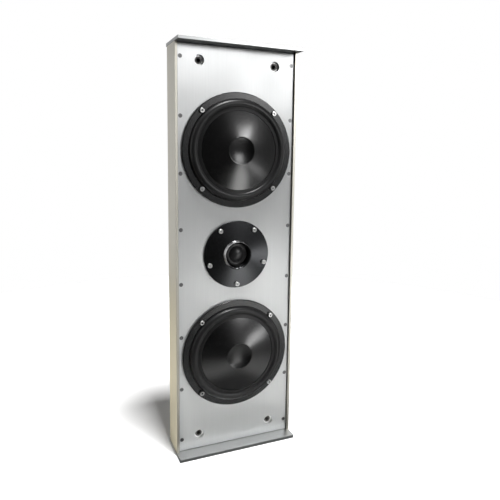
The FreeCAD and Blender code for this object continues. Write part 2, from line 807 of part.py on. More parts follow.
def build_motor(prefix, z):
    """Stack a woofer's front washer, ring magnet and yoke with its pole."""
    keep(ring(prefix + "_front_washer", "coil_out + coil_gap", "washer_dia / 2",
              "basket_back", "washer_back", z), prefix + "_front_washer")
    keep(ring(prefix + "_magnet", "magnet_bore / 2", "magnet_dia / 2",
              "washer_back", "magnet_back", z), prefix + "_magnet")
    pole = "former_in - coil_gap"
    keep(turned(prefix + "_yoke", [
        ("0", "basket_back"), (pole, "basket_back"), (pole, "magnet_back"),
        ("yoke_dia / 2", "magnet_back"), ("yoke_dia / 2", "yoke_back"), ("0", "yoke_back")], z=z),
        prefix + "_yoke")


def build_woofer_terminals(label, z):
    """Seat a terminal strip with two solder tags on the back of a basket's floor."""
    bar = box(label + "_bar", "strip_in", "basket_back", z + " - strip_width / 2",
              "strip_out", "basket_back + strip_thick", z + " + strip_width / 2")
    tags = []
    for index, side in enumerate(("-", "+")):
        middle = "%s %s strip_width / 3" % (z, side)
        tags.append(box("%s_tag_%d" % (label, index + 1),
                        "strip_out", "basket_back + strip_thick / 2 - tag_thick / 2",
                        middle + " - tag_width / 2", "strip_out + tag_reach",
                        "basket_back + strip_thick / 2 + tag_thick / 2", middle + " + tag_width / 2"))
    joined = doc.addObject("Part::MultiFuse", label)
    joined.Shapes = [bar] + tags
    keep(joined, label)


def build_woofer(prefix, z, screw):
    """Build one woofer about an axis at the given height."""
    build_basket(prefix + "_basket", z)
    build_surround(prefix + "_surround", z)
    build_cone(prefix + "_cone", z)
    build_dust_cap(prefix + "_dust_cap", z)
    build_voice_coil(prefix + "_voice_coil", z)
    build_spider(prefix + "_spider", z)
    build_motor(prefix, z)
    build_woofer_terminals(prefix + "_terminals", z)
    spots = round_spots("woofer_screw_circle / 2", 4, 45.0, z=z)
    group(prefix + "_screws", screw, [(x, "woofer_front", up) for x, up in spots])


def build_tweeter_face():
    """Turn the convex face plate with its raised mouth and flared throat, spot-faced for its screws."""
    body = turned("tweeter_face", [
        ("throat_r", "baffle_front"), ("throat_r", "throat_y"),
        ("face_opening / 2", "mouth_top + mouth_round"),
        ("face_opening / 2 + mouth_round", "mouth_top", "mouth_round", 1),
        ("face_opening / 2 + mouth_width", "face_top"),
        ("face_dia / 2 - face_round", "face_front"),
        ("face_dia / 2", "face_front + face_round", "face_round", 1),
        ("face_dia / 2", "baffle_front")], z="mid_z")
    spots = round_spots("face_screw_circle / 2", TWEETER_SCREWS, -90.0)
    seats = new_sketch(body, "SpotFaces", "XZ_Plane", "-face_top")
    circles(seats, spots, "cap_head_dia / 2 + spot_play")
    pocket(body, seats, "face_rise")
    holes = new_sketch(body, "ScrewHoles", "XZ_Plane", "-face_top")
    circles(holes, spots, "(cap_screw_dia + hole_play) / 2")
    pocket(body, holes)
    keep(body, "tweeter_face")


def build_diaphragm():
    """Form the dome, its half roll and its mounting ring from one film."""
    roll_in, roll_out = "dome_r + roll_flat", "throat_r - roll_flat"
    inner = "(dome_r - film)"
    radius = "(%s * %s + dome_height * dome_height) / (2 * dome_height)"
    keep(turned("tweeter_diaphragm", [
        ("0", "dome_foot - dome_height + film", radius % (inner, inner), -1),
        ("0", "dome_foot - dome_height"),
        ("dome_r", "dome_foot", radius % ("dome_r", "dome_r"), 1),
        (roll_in, "dome_foot"),
        (roll_out, "baffle_front", "film_roll", 1),
        ("film_ring_r", "baffle_front"),
        ("film_ring_r", "film_back"),
        (roll_out + " - film / 2", "film_back"),
        (roll_in + " + film / 2", "dome_foot + film", "film_roll - film / 2", -1),
        (inner, "dome_foot + film")], z="mid_z"), "tweeter_diaphragm")


def build_tweeter(screw):
    """Build the tweeter in the middle of the baffle."""
    build_tweeter_face()
    build_diaphragm()
    voice_in = "dome_r - film - voice_wall"
    keep(ring("tweeter_voice_coil", voice_in, "dome_r - film", "dome_foot + film", "voice_back", "mid_z"),
         "tweeter_voice_coil")
    keep(ring("tweeter_front_washer", "dome_r - film + voice_gap", "tweeter_washer_dia / 2",
              "film_back", "tweeter_washer_back", "mid_z"), "tweeter_front_washer")
    keep(ring("tweeter_magnet", "tweeter_magnet_bore / 2", "tweeter_washer_dia / 2",
              "tweeter_washer_back", "tweeter_magnet_back", "mid_z"), "tweeter_magnet")
    pole = voice_in + " - voice_gap"
    keep(turned("tweeter_yoke", [
        ("0", "film_back + pole_drop"), (pole, "film_back + pole_drop"), (pole, "tweeter_magnet_back"),
        ("tweeter_washer_dia / 2", "tweeter_magnet_back"), ("tweeter_washer_dia / 2", "tweeter_yoke_back"),
        ("0", "tweeter_yoke_back")], z="mid_z"), "tweeter_yoke")
    low = "mid_z - tweeter_strip_drop"
    keep(box("tweeter_terminals", "tweeter_strip_x - strip_width / 2", "tweeter_yoke_back",
             low + " - strip_depth / 2", "tweeter_strip_x + strip_width / 2",
             "tweeter_yoke_back + strip_thick", low + " + strip_depth / 2"), "tweeter_terminals")
    spots = round_spots("face_screw_circle / 2", TWEETER_SCREWS, -90.0, z="mid_z")
    group("tweeter_screws", screw, [(x, "face_front", up) for x, up in spots])


def build_terminal_cup():
    """Mould the terminal cup behind its opening in the back, with two binding posts through its floor."""
    body = new_body("terminal_cup", y="back_inner", z="cup_z")
    wide, tall = "cup_width / 2", "cup_height / 2"
    flange = new_sketch(body, "Flange", "XZ_Plane")
    rectangle(flange, "-%s - cup_flange" % wide, "-%s - cup_flange" % tall,
              wide + " + cup_flange", tall + " + cup_flange")
    pad(body, flange, "cup_wall")
    outer = new_sketch(body, "Outer", "XZ_Plane")
    rectangle(outer, "-%s - cup_wall" % wide, "-%s - cup_wall" % tall,
              wide + " + cup_wall", tall + " + cup_wall")
    pad(body, outer, "cup_depth")
    inner = new_sketch(body, "Inner", "XZ_Plane")
    rectangle(inner, "-" + wide, "-" + tall, wide, tall)
    pocket(body, inner, "cup_depth - cup_wall", True)
    holes = new_sketch(body, "FlangeHoles", "XZ_Plane")
    circles(holes, cup_screw_spots(), "(flat_screw_dia + hole_play) / 2")
    pocket(body, holes, backwards=True)
    studs = new_sketch(body, "StudHoles", "XZ_Plane")
    circles(studs, [("-post_spacing / 2", "0"), ("post_spacing / 2", "0")],
            "(post_stud_dia + hole_play) / 2")
    pocket(body, studs, backwards=True)
    keep(body, "terminal_cup")
    screw = flat_screw("cup_screw", "cup_screw_length")
    outward = Rotation(Vector(0, 0, 1), 180)
    group("terminal_cup_screws", screw, [
        (x, "back_face", "cup_z + " + z, outward) for x, z in cup_screw_spots()])
    for label, side in (("binding_post_red", "-"), ("binding_post_black", "")):
        keep(turned(label, [
            ("0", "-cup_wall - post_stud"), ("post_stud_dia / 2", "-cup_wall - post_stud"),
            ("post_stud_dia / 2", "0"), ("post_collar_dia / 2", "0"),
            ("post_collar_dia / 2", "post_collar"), ("post_dia / 2", "post_collar"),
            ("post_dia / 2", "post_length"), ("0", "post_length")],
            side + "post_spacing / 2", "cup_inner_floor", "cup_z"), label)
    nut = new_body("nut")
    sketch = new_sketch(nut, "Hexagon", "XZ_Plane")
    hexagon(sketch, "nut_flats")
    pad(nut, sketch, "nut_thick")
    bore = new_sketch(nut, "Bore", "XZ_Plane")
    circles(bore, [("0", "0")], "(post_stud_dia + hole_play) / 2")
    pocket(nut, bore, backwards=True)
    group("binding_post_nuts", nut, [(side + "post_spacing / 2", "cup_floor", "cup_z") for side in ("-", "")])


def board_corners():
    """Return the places of the board's spacers from the board's middle."""
    across = "(board_width / 2 - spacer_inset)"
    up = "(board_height / 2 - spacer_inset)"
    return [(sx + across, sz + up) for sx in ("-", "") for sz in ("-", "")]


def build_crossover():
    """Build the crossover board on its snap-in spacers, with two coils and two capacitors."""
    body = new_body("crossover_board", y="board_back", z="board_z")
    sketch = new_sketch(body, "Board", "XZ_Plane")
    rectangle(sketch, "-board_width / 2", "-board_height / 2", "board_width / 2", "board_height / 2")
    pad(body, sketch, "board_thick")
    holes = new_sketch(body, "SpacerHoles", "XZ_Plane")
    circles(holes, board_corners(), "(spacer_pin_dia + hole_play) / 2")
    pocket(body, holes, backwards=True)
    keep(body, "crossover_board")
    pin, head = "spacer_pin_dia / 2", "spacer_pin_head_dia / 2"
    spacer = turned("spacer", [
        ("0", "-board_thick - spacer_pin_head"), (head, "-board_thick - spacer_pin_head"),
        (head, "-board_thick"), (pin, "-board_thick"), (pin, "0"), ("spacer_dia / 2", "0"),
        ("spacer_dia / 2", "spacer_height"), ("0", "spacer_height")])
    group("board_spacers", spacer, [(x, "board_back", "board_z + " + z) for x, z in board_corners()])
    for label, side in (("woofer_inductor", "-"), ("tweeter_inductor", "")):
        coil = turned(label, [
            ("coil_bore / 2", "-coil_height"), ("coil_dia / 2", "-coil_height"),
            ("coil_dia / 2", "0"), ("coil_bore / 2", "0")],
            side + "coil_x", "board_front", "board_z - coil_drop")
        keep(coil, label)
    for label, side in (("woofer_capacitor", "-"), ("tweeter_capacitor", "")):
        can = doc.addObject("Part::Cylinder", label)
        can.setExpression("Radius", linked("capacitor_dia / 2"))
        can.setExpression("Height", linked("capacitor_length"))
        place(can, side + "capacitor_x - capacitor_length / 2", "board_front - capacitor_dia / 2",
              "board_z + capacitor_lift", Rotation(Vector(0, 1, 0), 90))
        keep(can, label)


def build_hangers():
    """Press the cups that close the keyholes from inside."""
    cup = new_body("hanger_cup")
    sketch = new_sketch(cup, "Outer", "XZ_Plane")
    top = "hanger_half + hanger_travel"
    rectangle(sketch, "-hanger_half", "-hanger_half", "hanger_half", top)
    pad(cup, sketch, "hanger_cup_depth")
    inner = new_sketch(cup, "Inner", "XZ_Plane")
    rectangle(inner, "-hanger_half + hanger_cup_wall", "-hanger_half + hanger_cup_wall",
              "hanger_half - hanger_cup_wall", top + " - hanger_cup_wall")
    pocket(cup, inner, "hanger_cup_depth - hanger_cup_wall", True)
    group("hanger_cups", cup, [(side + "hanger_x", "back_inner", "hanger_z") for side in ("-", "")])


def build_wadding():
    """Lay the wadding block against the back, from above the upper motor to under the top plate."""
    back = "back_inner - wadding_play"
    top = "top_z - plate_thick - wadding_play"
    bottom = "upper_z + magnet_dia / 2 + wadding_clear"
    side = "hanger_x - hanger_half - wadding_play"
    keep(box("wadding", "-(%s)" % side, "wadding_front", bottom, side, back, top), "wadding")


def bent_tube(points, radius, bend):
    """Sweep a round section along straight runs joined by arcs of one bend radius."""
    edges = []
    start = points[0]
    for before, corner, after in zip(points, points[1:], points[2:]):
        arriving = (corner - before).normalize()
        leaving = (after - corner).normalize()
        angle = arriving.getAngle(leaving)
        reach = bend * math.tan(angle / 2)
        enter, leave = corner - arriving * reach, corner + leaving * reach
        inward = (leaving - arriving).normalize()
        middle = corner + inward * (bend / math.cos(angle / 2) - bend)
        edges.append(Part.makeLine(start, enter))
        edges.append(Part.Arc(enter, middle, leave).toShape())
        start = leave
    edges.append(Part.makeLine(start, points[-1]))
    section = Part.Wire(Part.makeCircle(radius, points[0], points[1] - points[0]))
    return Part.Wire(edges).makePipeShell([section], True, True)


def build_lead(label, points):
    """Make one internal lead whole, from the piece where it starts to the piece where it ends."""
    spots = [Vector(number(x), number(y), number(z)) for x, y, z in points]
    lead = doc.addObject("Part::Feature", label)
    lead.Shape = bent_tube(spots, number("lead_r"), number("lead_bend"))
    keep(lead, label)


def build_leads():
    """Run the leads from the terminals to the board and from the board to the drivers."""
    strip_y = "basket_back + strip_thick / 2"
    board_y = "board_back - board_thick / 2"
    edge = "board_width / 2"
    ahead, behind = "stud_front - lead_leave", "stud_front + lead_back"
    build_lead("input_lead", [
        ("-post_spacing / 2", "stud_front", "cup_z"), ("-post_spacing / 2", ahead, "cup_z"),
        ("-lead_x", ahead, "cup_z"), ("-lead_x", behind, "cup_z + lead_climb"),
        ("-lead_x", behind, "board_z - lead_rise"), ("-lead_x", board_y, "board_z"),
        ("-" + edge, board_y, "board_z")])
    for label, sign, height in (("lower_woofer_lead", "-", "lower_z"), ("upper_woofer_lead", "+", "upper_z")):
        start = "board_z %s lead_spread" % sign
        build_lead(label, [
            (edge, board_y, start), ("lead_x", board_y, start),
            ("lead_x", strip_y, "board_z %s lead_drop" % sign), ("lead_x", strip_y, height),
            ("strip_out", strip_y, height)])
    build_lead("tweeter_lead", [
        ("tweeter_strip_x", board_y, "board_z + board_height / 2"),
        ("tweeter_strip_x", board_y, "mid_z - tweeter_strip_drop"),
        ("tweeter_strip_x", "tweeter_yoke_back + strip_thick", "mid_z - tweeter_strip_drop")])


def build_all():
    """Build every sub-part of the speaker."""
    build_shell()
    build_baffle()
    build_plate("top_plate", "top_z", Rotation())
    build_plate("bottom_plate", "0", FLIPPED)
    for side, sign in (("left", "-"), ("right", "")):
        build_rail("front_rail_" + side, sign + "rail_x", "front_rail_y", True)
        build_rail("rear_rail_" + side, sign + "rail_x", "rear_rail_y", False)
    build_seals()
    build_cabinet_screws()
    build_sockets()
    screw = cap_screw("cap_screw")
    build_woofer("upper_woofer", "upper_z", screw)
    build_woofer("lower_woofer", "lower_z", screw)
    build_tweeter(screw)
    build_terminal_cup()
    build_crossover()
    build_hangers()
    build_wadding()
    build_leads()


def write_parts():
    """Check every object and each sub-part's shape, then write one file for each sub-part."""
    doc.removeObject(answers.Name)
    doc.recompute()
    for item in doc.Objects:
        if {"Invalid", "Error"} & set(item.State):
            raise RuntimeError("%s failed: %s" % (item.Name, item.State))
    for item in parts:
        if item.Shape.isNull() or not item.Shape.isValid():
            raise RuntimeError("%s has no valid shape" % item.Label)
    os.makedirs("parts", exist_ok=True)
    for item in parts:
        item.Shape.exportStep("parts/%s.step" % item.Label)
    print("%d sub-parts written" % len(parts))


fill_sheet()
build_all()
write_parts()
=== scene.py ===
"""Looks of the wall speaker: its finishes, its turned, moulded and wound details, and the studio.

Sizes and places of the speaker's pieces are in millimetres, and those of the studio in metres. A profile is
a list of points, each a radius from an axis along Y and a depth along it.
"""

import logging
import math
from dataclasses import dataclass, replace
from enum import Enum
from typing import Optional, Sequence, Union

import bmesh
import bpy
from mathutils import Matrix, Quaternion, Vector


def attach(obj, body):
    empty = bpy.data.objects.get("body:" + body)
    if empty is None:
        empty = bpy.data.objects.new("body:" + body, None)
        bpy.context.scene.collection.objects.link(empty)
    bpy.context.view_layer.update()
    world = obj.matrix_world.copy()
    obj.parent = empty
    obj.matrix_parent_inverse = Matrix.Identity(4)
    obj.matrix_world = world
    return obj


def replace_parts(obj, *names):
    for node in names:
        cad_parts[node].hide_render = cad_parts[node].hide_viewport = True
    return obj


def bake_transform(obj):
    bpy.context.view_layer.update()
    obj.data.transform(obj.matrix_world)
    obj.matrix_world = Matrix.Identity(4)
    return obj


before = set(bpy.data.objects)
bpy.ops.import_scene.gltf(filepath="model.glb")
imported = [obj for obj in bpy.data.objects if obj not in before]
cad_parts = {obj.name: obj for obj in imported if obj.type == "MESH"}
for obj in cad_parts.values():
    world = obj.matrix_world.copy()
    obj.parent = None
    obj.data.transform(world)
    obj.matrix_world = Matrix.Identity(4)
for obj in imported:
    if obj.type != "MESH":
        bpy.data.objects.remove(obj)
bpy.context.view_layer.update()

MM = 0.001
MERGE = 0.002 * MM
SMOOTH_ANGLE = math.radians(32.0)
FULL_TURN = 2.0 * math.pi
# Mesh mark for the painted shade inside screw keys.
KEY_SHADE_MARK = "sunk"
FACING = 0.7
NOISE_RANGE = (0.28, 0.72)
PATCH_SCALE = 14.0
PATCH_GLOSS = (0.93, 1.07)
RING_SWING = 0.28
DUST_SLOPE = (0.25, 1.0)
DUST_COLOUR = (0.42, 0.41, 0.39)
DUST_ROUGHNESS = 0.25
COAT_ROUGHNESS = 0.25
TWEETER_PLACE = (0.0, 0.0, 311.0)
log = logging.getLogger("wall_speaker")

Point = tuple[float, float]
Place = tuple[float, float, float]
Colour = tuple[float, float, float]
Socket = bpy.types.NodeSocket
Feed = Union[float, Sequence[float], Socket]


class Body(Enum):
    """Bodies that the pieces ride on."""

    CABINET = "cabinet"
    UPPER_CONE = "upper_cone"
    LOWER_CONE = "lower_cone"


class Grain(Enum):
    """Direction in which a metal face was brushed, as pattern scales along X, Y and Z."""

    UPRIGHT = (1.0, 1.0, 0.012)
    ACROSS = (0.012, 1.0, 1.0)


# Node trees


class Graph:
    """A node tree with short calls for adding, setting and joining nodes."""

    def __init__(self, tree: bpy.types.NodeTree) -> None:
        """Keep the tree that the calls work on."""
        self.tree = tree

    def add(self, kind: str, inputs: Optional[dict] = None, **settings: object) -> bpy.types.Node:
        """Add a node.

        Args:
            kind: The node's type without its prefix.
            inputs: Plain values or outputs, by socket name or index.
            settings: The node's own properties.

        Returns:
            The new node.
        """
        node = self.tree.nodes.new("ShaderNode" + kind)
        for name, value in settings.items():
            setattr(node, name, value)
        for name, value in (inputs or {}).items():
            self.feed(node.inputs[name], value)
        return node

    def feed(self, socket: Socket, value: Feed) -> None:
        """Join a socket to an output, or set it to a plain value."""
        if isinstance(value, Socket):
            self.tree.links.new(value, socket)
        else:
            socket.default_value = value

    def group(self, tree: bpy.types.NodeTree, output: str, **inputs: Feed) -> Socket:
        """Place a shared effect.

        Args:
            tree: The effect's node group.
            output: Name of the wanted output.
            inputs: Values or outputs by the group's input names.

        Returns:
            The effect's output.
        """
        return self.add("Group", inputs, node_tree=tree).outputs[output]

    def maths(self, operation: str, *values: Feed) -> Socket:
        """Work out one sum of up to three values and return its output."""
        return self.add("Math", dict(enumerate(values)), operation=operation).outputs[0]

    def spread(self, value: Socket, low: float, high: float) -> Socket:
        """Stretch a value from 0 to 1 over a range and return its output."""
        return self.add("MapRange", {"Value": value, "To Min": low, "To Max": high}).outputs["Result"]

    def rise(self, value: Socket, start: float, stop: float, curve: str = "LINEAR") -> Socket:
        """Return a mask that goes from 0 to 1 as a value goes from one limit to another.

        Args:
            value: The value looked at.
            start: Where the mask is still 0.
            stop: Where the mask is 1.
            curve: How it goes up between them.

        Returns:
            The mask's output.
        """
        limits = {"Value": value, "From Min": start, "From Max": stop}
        return self.add("MapRange", limits, interpolation_type=curve).outputs["Result"]

    def between(self, mask: Feed, first: Feed, second: Feed) -> Socket:
        """Mix two colours.

        Args:
            mask: The share of the second colour.
            first: Colour or output where the mask is 0.
            second: Colour or output where the mask is 1.

        Returns:
            The mixed colour's output.
        """
        node = self.add("Mix", data_type="RGBA")
        self.feed(node.inputs[0], mask)
        for index, colour in ((6, first), (7, second)):
            self.feed(node.inputs[index], colour if isinstance(colour, Socket) else (*colour, 1.0))
        return node.outputs[2]

    def place(self, centre: Place = (0.0, 0.0, 0.0), scale: Place = (1.0, 1.0, 1.0)) -> Socket:
        """Return object coordinates, centred and scaled for a pattern.

        Args:
            centre: The point, in millimetres, that becomes the pattern's origin.
            scale: Scales along X, Y and Z.

        Returns:
            The vector's output.
        """
        coordinates = self.add("TexCoord").outputs["Object"]
        moved = [-c * MM * s for c, s in zip(centre, scale)]
        mapping = self.add("Mapping", {"Vector": coordinates, "Location": moved, "Scale": scale})
        return mapping.outputs["Vector"]

    def part(self, vector: Socket, name: str) -> Socket:
        """Return the X, Y or Z of a vector as a value."""
        return self.add("SeparateXYZ", {"Vector": vector}).outputs[name]

    def axis(self, name: str) -> Socket:
        """Return one of the object coordinates as a value."""
        return self.part(self.place(), name)

    def length(self, vector: Socket) -> Socket:
        """Return a vector's length."""
        return self.add("VectorMath", {0: vector}, operation="LENGTH").outputs["Value"]

    def normal(self) -> Socket:
        """Return the direction in which the surface looks."""
        return self.add("NewGeometry").outputs["Normal"]

    def share(self, first: Socket, second: Socket, weight: float) -> Socket:
        """Add up two masks, the first by its weight from 0 to 1 and the second by the rest."""
        rest = self.maths("MULTIPLY", second, 1.0 - weight)
        return self.maths("MULTIPLY_ADD", first, weight, rest)


class Effects:
    """Surface effects that several finishes share, each built once as a node group."""

    built: dict[str, bpy.types.NodeTree] = {}

    @classmethod
    def start(cls, name: str, number: str,
              outputs: Sequence[str]) -> tuple[Graph, Socket, Socket, dict[str, Socket]]:
        """Start a node group that reads a vector and one number.

        Args:
            name: The group's name.
            number: Name of the number's input.
            outputs: Names of the value outputs.

        Returns:
            The group's graph, its vector, its number and its output sockets by name.
        """
        tree = cls.built[name] = bpy.data.node_groups.new(name, "ShaderNodeTree")
        tree.interface.new_socket(name="Vector", in_out="INPUT", socket_type="NodeSocketVector")
        tree.interface.new_socket(name=number, in_out="INPUT", socket_type="NodeSocketFloat")
        for label in outputs:
            tree.interface.new_socket(name=label, in_out="OUTPUT", socket_type="NodeSocketFloat")
        given = tree.nodes.new("NodeGroupInput").outputs
        target = tree.nodes.new("NodeGroupOutput").inputs
        return Graph(tree), given["Vector"], given[number], {label: target[label] for label in outputs}

    @classmethod
    def noise(cls, name: str, detail: float, roughness: float) -> bpy.types.NodeTree:
        """Return a group that gives one even noise mask at a chosen scale."""
        if name not in cls.built:
            graph, vector, scale, out = cls.start(name, "Scale", ("Mask",))
            noise = graph.add("TexNoise", {
                "Vector": vector, "Scale": scale, "Detail": detail, "Roughness": roughness})
            graph.feed(out["Mask"], graph.rise(noise.outputs["Fac"], *NOISE_RANGE))
        return cls.built[name]

    @classmethod
    def streaks(cls) -> bpy.types.NodeTree:
        """Return the brushed or drawn grain."""
        return cls.noise("drawn_grain", detail=5.0, roughness=0.62)

    @classmethod
    def speckle(cls) -> bpy.types.NodeTree:
        """Return the fine grain of castings, mouldings and rubber."""
        return cls.noise("fine_speckle", detail=3.0, roughness=0.55)

    @classmethod
    def patches(cls) -> bpy.types.NodeTree:
        """Return the broad patches left by handling and uneven finishing."""
        return cls.noise("broad_patches", detail=2.0, roughness=0.5)

    @classmethod
    def rings(cls) -> bpy.types.NodeTree:
        """Return the turning marks round an axis along Y."""
        if "turned_rings" not in cls.built:
            graph, vector, pitch, out = cls.start("turned_rings", "Pitch", ("Ring",))
            axes = graph.add("SeparateXYZ", {"Vector": vector}).outputs
            squares = [graph.maths("POWER", axes[name], 2.0) for name in ("X", "Z")]
            turns = graph.maths("DIVIDE", graph.maths("SQRT", graph.maths("ADD", *squares)), pitch)
            wave = graph.maths("SINE", graph.maths("MULTIPLY", turns, FULL_TURN))
            drift = {"W": turns, "Scale": 0.37, "Detail": 2.0}
            uneven = graph.add("TexNoise", drift, noise_dimensions="1D").outputs["Fac"]
            graph.feed(out["Ring"], graph.maths("MULTIPLY_ADD", wave, RING_SWING, uneven))
        return cls.built["turned_rings"]

    @classmethod
    def weave(cls) -> bpy.types.NodeTree:
        """Return the over-and-under height of a plain weave in X and Z."""
        if "plain_weave" not in cls.built:
            graph, vector, pitch, out = cls.start("plain_weave", "Pitch", ("Weave",))
            axes = graph.add("SeparateXYZ", {"Vector": vector}).outputs
            waves = []
            for name in ("X", "Z"):
                turns = graph.maths("DIVIDE", axes[name], pitch)
                waves.append(graph.maths("SINE", graph.maths("MULTIPLY", turns, math.pi)))
            graph.feed(out["Weave"], graph.maths("MULTIPLY_ADD", graph.maths("MULTIPLY", *waves), 0.5, 0.5))
        return cls.built["plain_weave"]

    @classmethod
    def dust(cls) -> bpy.types.NodeTree:
        """Return where dust settles: patchily, on faces that look up."""
        if "settled_dust" not in cls.built:
            graph, vector, amount, out = cls.start("settled_dust", "Amount", ("Mask",))
            up = graph.part(graph.normal(), "Z")
            lumps = graph.add("TexNoise", {"Vector": vector, "Scale": 90.0, "Detail": 4.0})
            lying = graph.maths("MULTIPLY", graph.rise(up, *DUST_SLOPE), lumps.outputs["Fac"])
            graph.feed(out["Mask"], graph.maths("MULTIPLY", lying, amount))
        return cls.built["settled_dust"]


# Finishes


@dataclass(frozen=True)
class Finish:
    """One finish: its colours and gloss, and the pattern that breaks them up.

    Args:
        name: The finish's name, used for its material.
        dark: Colour in the hollows of the pattern.
        light: Colour on the high places of the pattern.
        gloss: Roughness at both ends of the pattern.
        metal: Share of bare metal.
        relief: Strength of the bump.
        depth: Height of the bump in millimetres.
        scale: Pattern scale per metre, or the pitch in millimetres of rings, weaves and windings.
        centre: Middle of a pattern round an axis, in millimetres.
        dust: Amount of dust on faces that look up.
        coat: Weight of a clear coat.
        sheen: Weight of a fibrous sheen.
        specular: Specular level of the shader.
        stretch: How far highlights stretch across an upright grain.
    """

    name: str
    dark: Colour
    light: Colour
    gloss: Point = (0.4, 0.55)
    metal: float = 0.0
    relief: float = 0.1
    depth: float = 0.1
    scale: float = 900.0
    centre: Place = (0.0, 0.0, 0.0)
    dust: float = 0.0
    coat: float = 0.0
    sheen: float = 0.0
    specular: float = 0.5
    stretch: float = 0.0

    def pattern(self, graph: Graph) -> Socket:
        """Return the mask that breaks up the colour, gloss and relief: here a fine speckle."""
        return graph.group(Effects.speckle(), "Mask", Vector=graph.place(), Scale=self.scale)

    def tint(self, graph: Graph, mask: Socket) -> Socket:
        """Return the base colour, from the dark to the light one by the pattern."""
        return graph.between(mask, self.dark, self.light)

    def make(self) -> bpy.types.Material:
        """Build the finish's material once.

        Returns:
            The material.
        """
        found = bpy.data.materials.get(self.name)
        if found:
            return found
        material = bpy.data.materials.new(self.name)
        material.use_nodes = True
        graph = Graph(material.node_tree)
        shader = material.node_tree.nodes["Principled BSDF"].inputs
        mask = self.pattern(graph)
        colour = self.tint(graph, mask)
        patches = graph.group(Effects.patches(), "Mask", Vector=graph.place(), Scale=PATCH_SCALE)
        uneven = graph.spread(patches, *PATCH_GLOSS)
        rough = graph.maths("MULTIPLY", graph.spread(mask, *self.gloss), uneven)
        if self.dust:
            lying = graph.group(Effects.dust(), "Mask", Vector=graph.place(), Amount=self.dust)
            colour = graph.between(lying, colour, DUST_COLOUR)
            rough = graph.maths("MULTIPLY_ADD", lying, DUST_ROUGHNESS, rough)
        bump = graph.add("Bump", {"Strength": self.relief, "Distance": self.depth * MM, "Height": mask})
        graph.feed(shader["Base Color"], colour)
        graph.feed(shader["Roughness"], rough)
        graph.feed(shader["Normal"], bump.outputs["Normal"])
        shader["Metallic"].default_value = self.metal
        shader["Coat Weight"].default_value = self.coat
        shader["Coat Roughness"].default_value = COAT_ROUGHNESS
        shader["Sheen Weight"].default_value = self.sheen
        shader["Specular IOR Level"].default_value = self.specular
        shader["Anisotropic"].default_value = self.stretch
        return material


@dataclass(frozen=True)
class BrushedMetal(Finish):
    """Metal with a straight brushed grain, with painted shade on the faces that look one way.

    Args:
        grain: Direction of the grain.
        shade_side: Where the faces with painted shade look, if any have it.
        shade_share: Share of the colour that they keep under the painted shade.
        coarse: Scale of the coarse streaks, as a share of the fine ones' scale.
        weight: Weight of the fine streaks.
    """

    grain: Grain = Grain.UPRIGHT
    shade_side: Optional[Place] = None
    shade_share: float = 1.0
    coarse: float = 0.16
    weight: float = 0.6

    def tint(self, graph: Graph, mask: Socket) -> Socket:
        """Return the brushed colour, with painted shade on the faces that look to the shade side."""
        brushed = super().tint(graph, mask)
        if self.shade_side is None:
            return brushed
        looks = {0: graph.normal(), 1: self.shade_side}
        facing = graph.add("VectorMath", looks, operation="DOT_PRODUCT")
        # Faces that look to the shade side get painted shade.
        turned = graph.maths("GREATER_THAN", facing.outputs["Value"], FACING)
        return graph.between(turned, brushed, tuple(part * self.shade_share for part in self.dark))

    def pattern(self, graph: Graph) -> Socket:
        """Return fine and coarse streaks laid along the grain."""
        fine, coarse = (
            graph.group(Effects.streaks(), "Mask", Vector=graph.place(scale=self.grain.value), Scale=scale)
            for scale in (self.scale, self.scale * self.coarse))
        return graph.share(fine, coarse, self.weight)


@dataclass(frozen=True)
class FoldedSheet(BrushedMetal):
    """Brushed sheet folded to a channel, whose inner faces carry painted shade.

    Args:
        lip: Least distance, in millimetres, of the inner faces from the middle plane.
        inner_shade: Share of the colour that the inner faces keep under the painted shade.
    """

    lip: float = 60.0
    inner_shade: float = 0.35

    def tint(self, graph: Graph, mask: Socket) -> Socket:
        """Return the brushed colour, with painted shade on the faces that look to the middle."""
        outwards = graph.maths("MULTIPLY", graph.part(graph.normal(), "X"), graph.axis("X"))
        # Faces that look to the middle get painted shade.
        inner = graph.maths("LESS_THAN", outwards, -self.lip * MM)
        shaded = tuple(part * self.inner_shade for part in self.dark)
        return graph.between(inner, super().tint(graph, mask), shaded)


@dataclass(frozen=True)
class TurnedFinish(Finish):
    """Metal, paint or rubber with marks in rings round an axis along Y.

    Args:
        grit: Scale per metre of the speckle in the rings.
        weight: Weight of the rings.
    """

    grit: float = 1600.0
    weight: float = 0.8

    def pattern(self, graph: Graph) -> Socket:
        """Return the rings, with a little speckle in them."""
        ring = graph.group(Effects.rings(), "Ring", Vector=graph.place(self.centre), Pitch=self.scale * MM)
        grit = graph.group(Effects.speckle(), "Mask", Vector=graph.place(), Scale=self.grit)
        return graph.share(ring, grit, self.weight)


@dataclass(frozen=True)
class MouthRing(Finish):
    """Black face whose raised mouth is turned bright on its outer flank.

    Args:
        inside: Radius, in millimetres, outside which the flank is bright.
        foot: Depth, in millimetres, in front of which the flank is bright.
        bright: Colour of the flank.
    """

    inside: float = 20.3
    foot: float = -18.6
    bright: Colour = (0.56, 0.56, 0.57)

    def tint(self, graph: Graph, mask: Socket) -> Socket:
        """Return the black of the face and the bright flank."""
        across = {0: graph.place(self.centre), 1: (1.0, 0.0, 1.0)}
        flat = graph.add("VectorMath", across, operation="MULTIPLY").outputs["Vector"]
        outside = graph.maths("GREATER_THAN", graph.length(flat), self.inside * MM)
        ahead = graph.maths("LESS_THAN", graph.axis("Y"), self.foot * MM)
        flank = graph.maths("MULTIPLY", outside, ahead)
        return graph.between(flank, super().tint(graph, mask), self.bright)


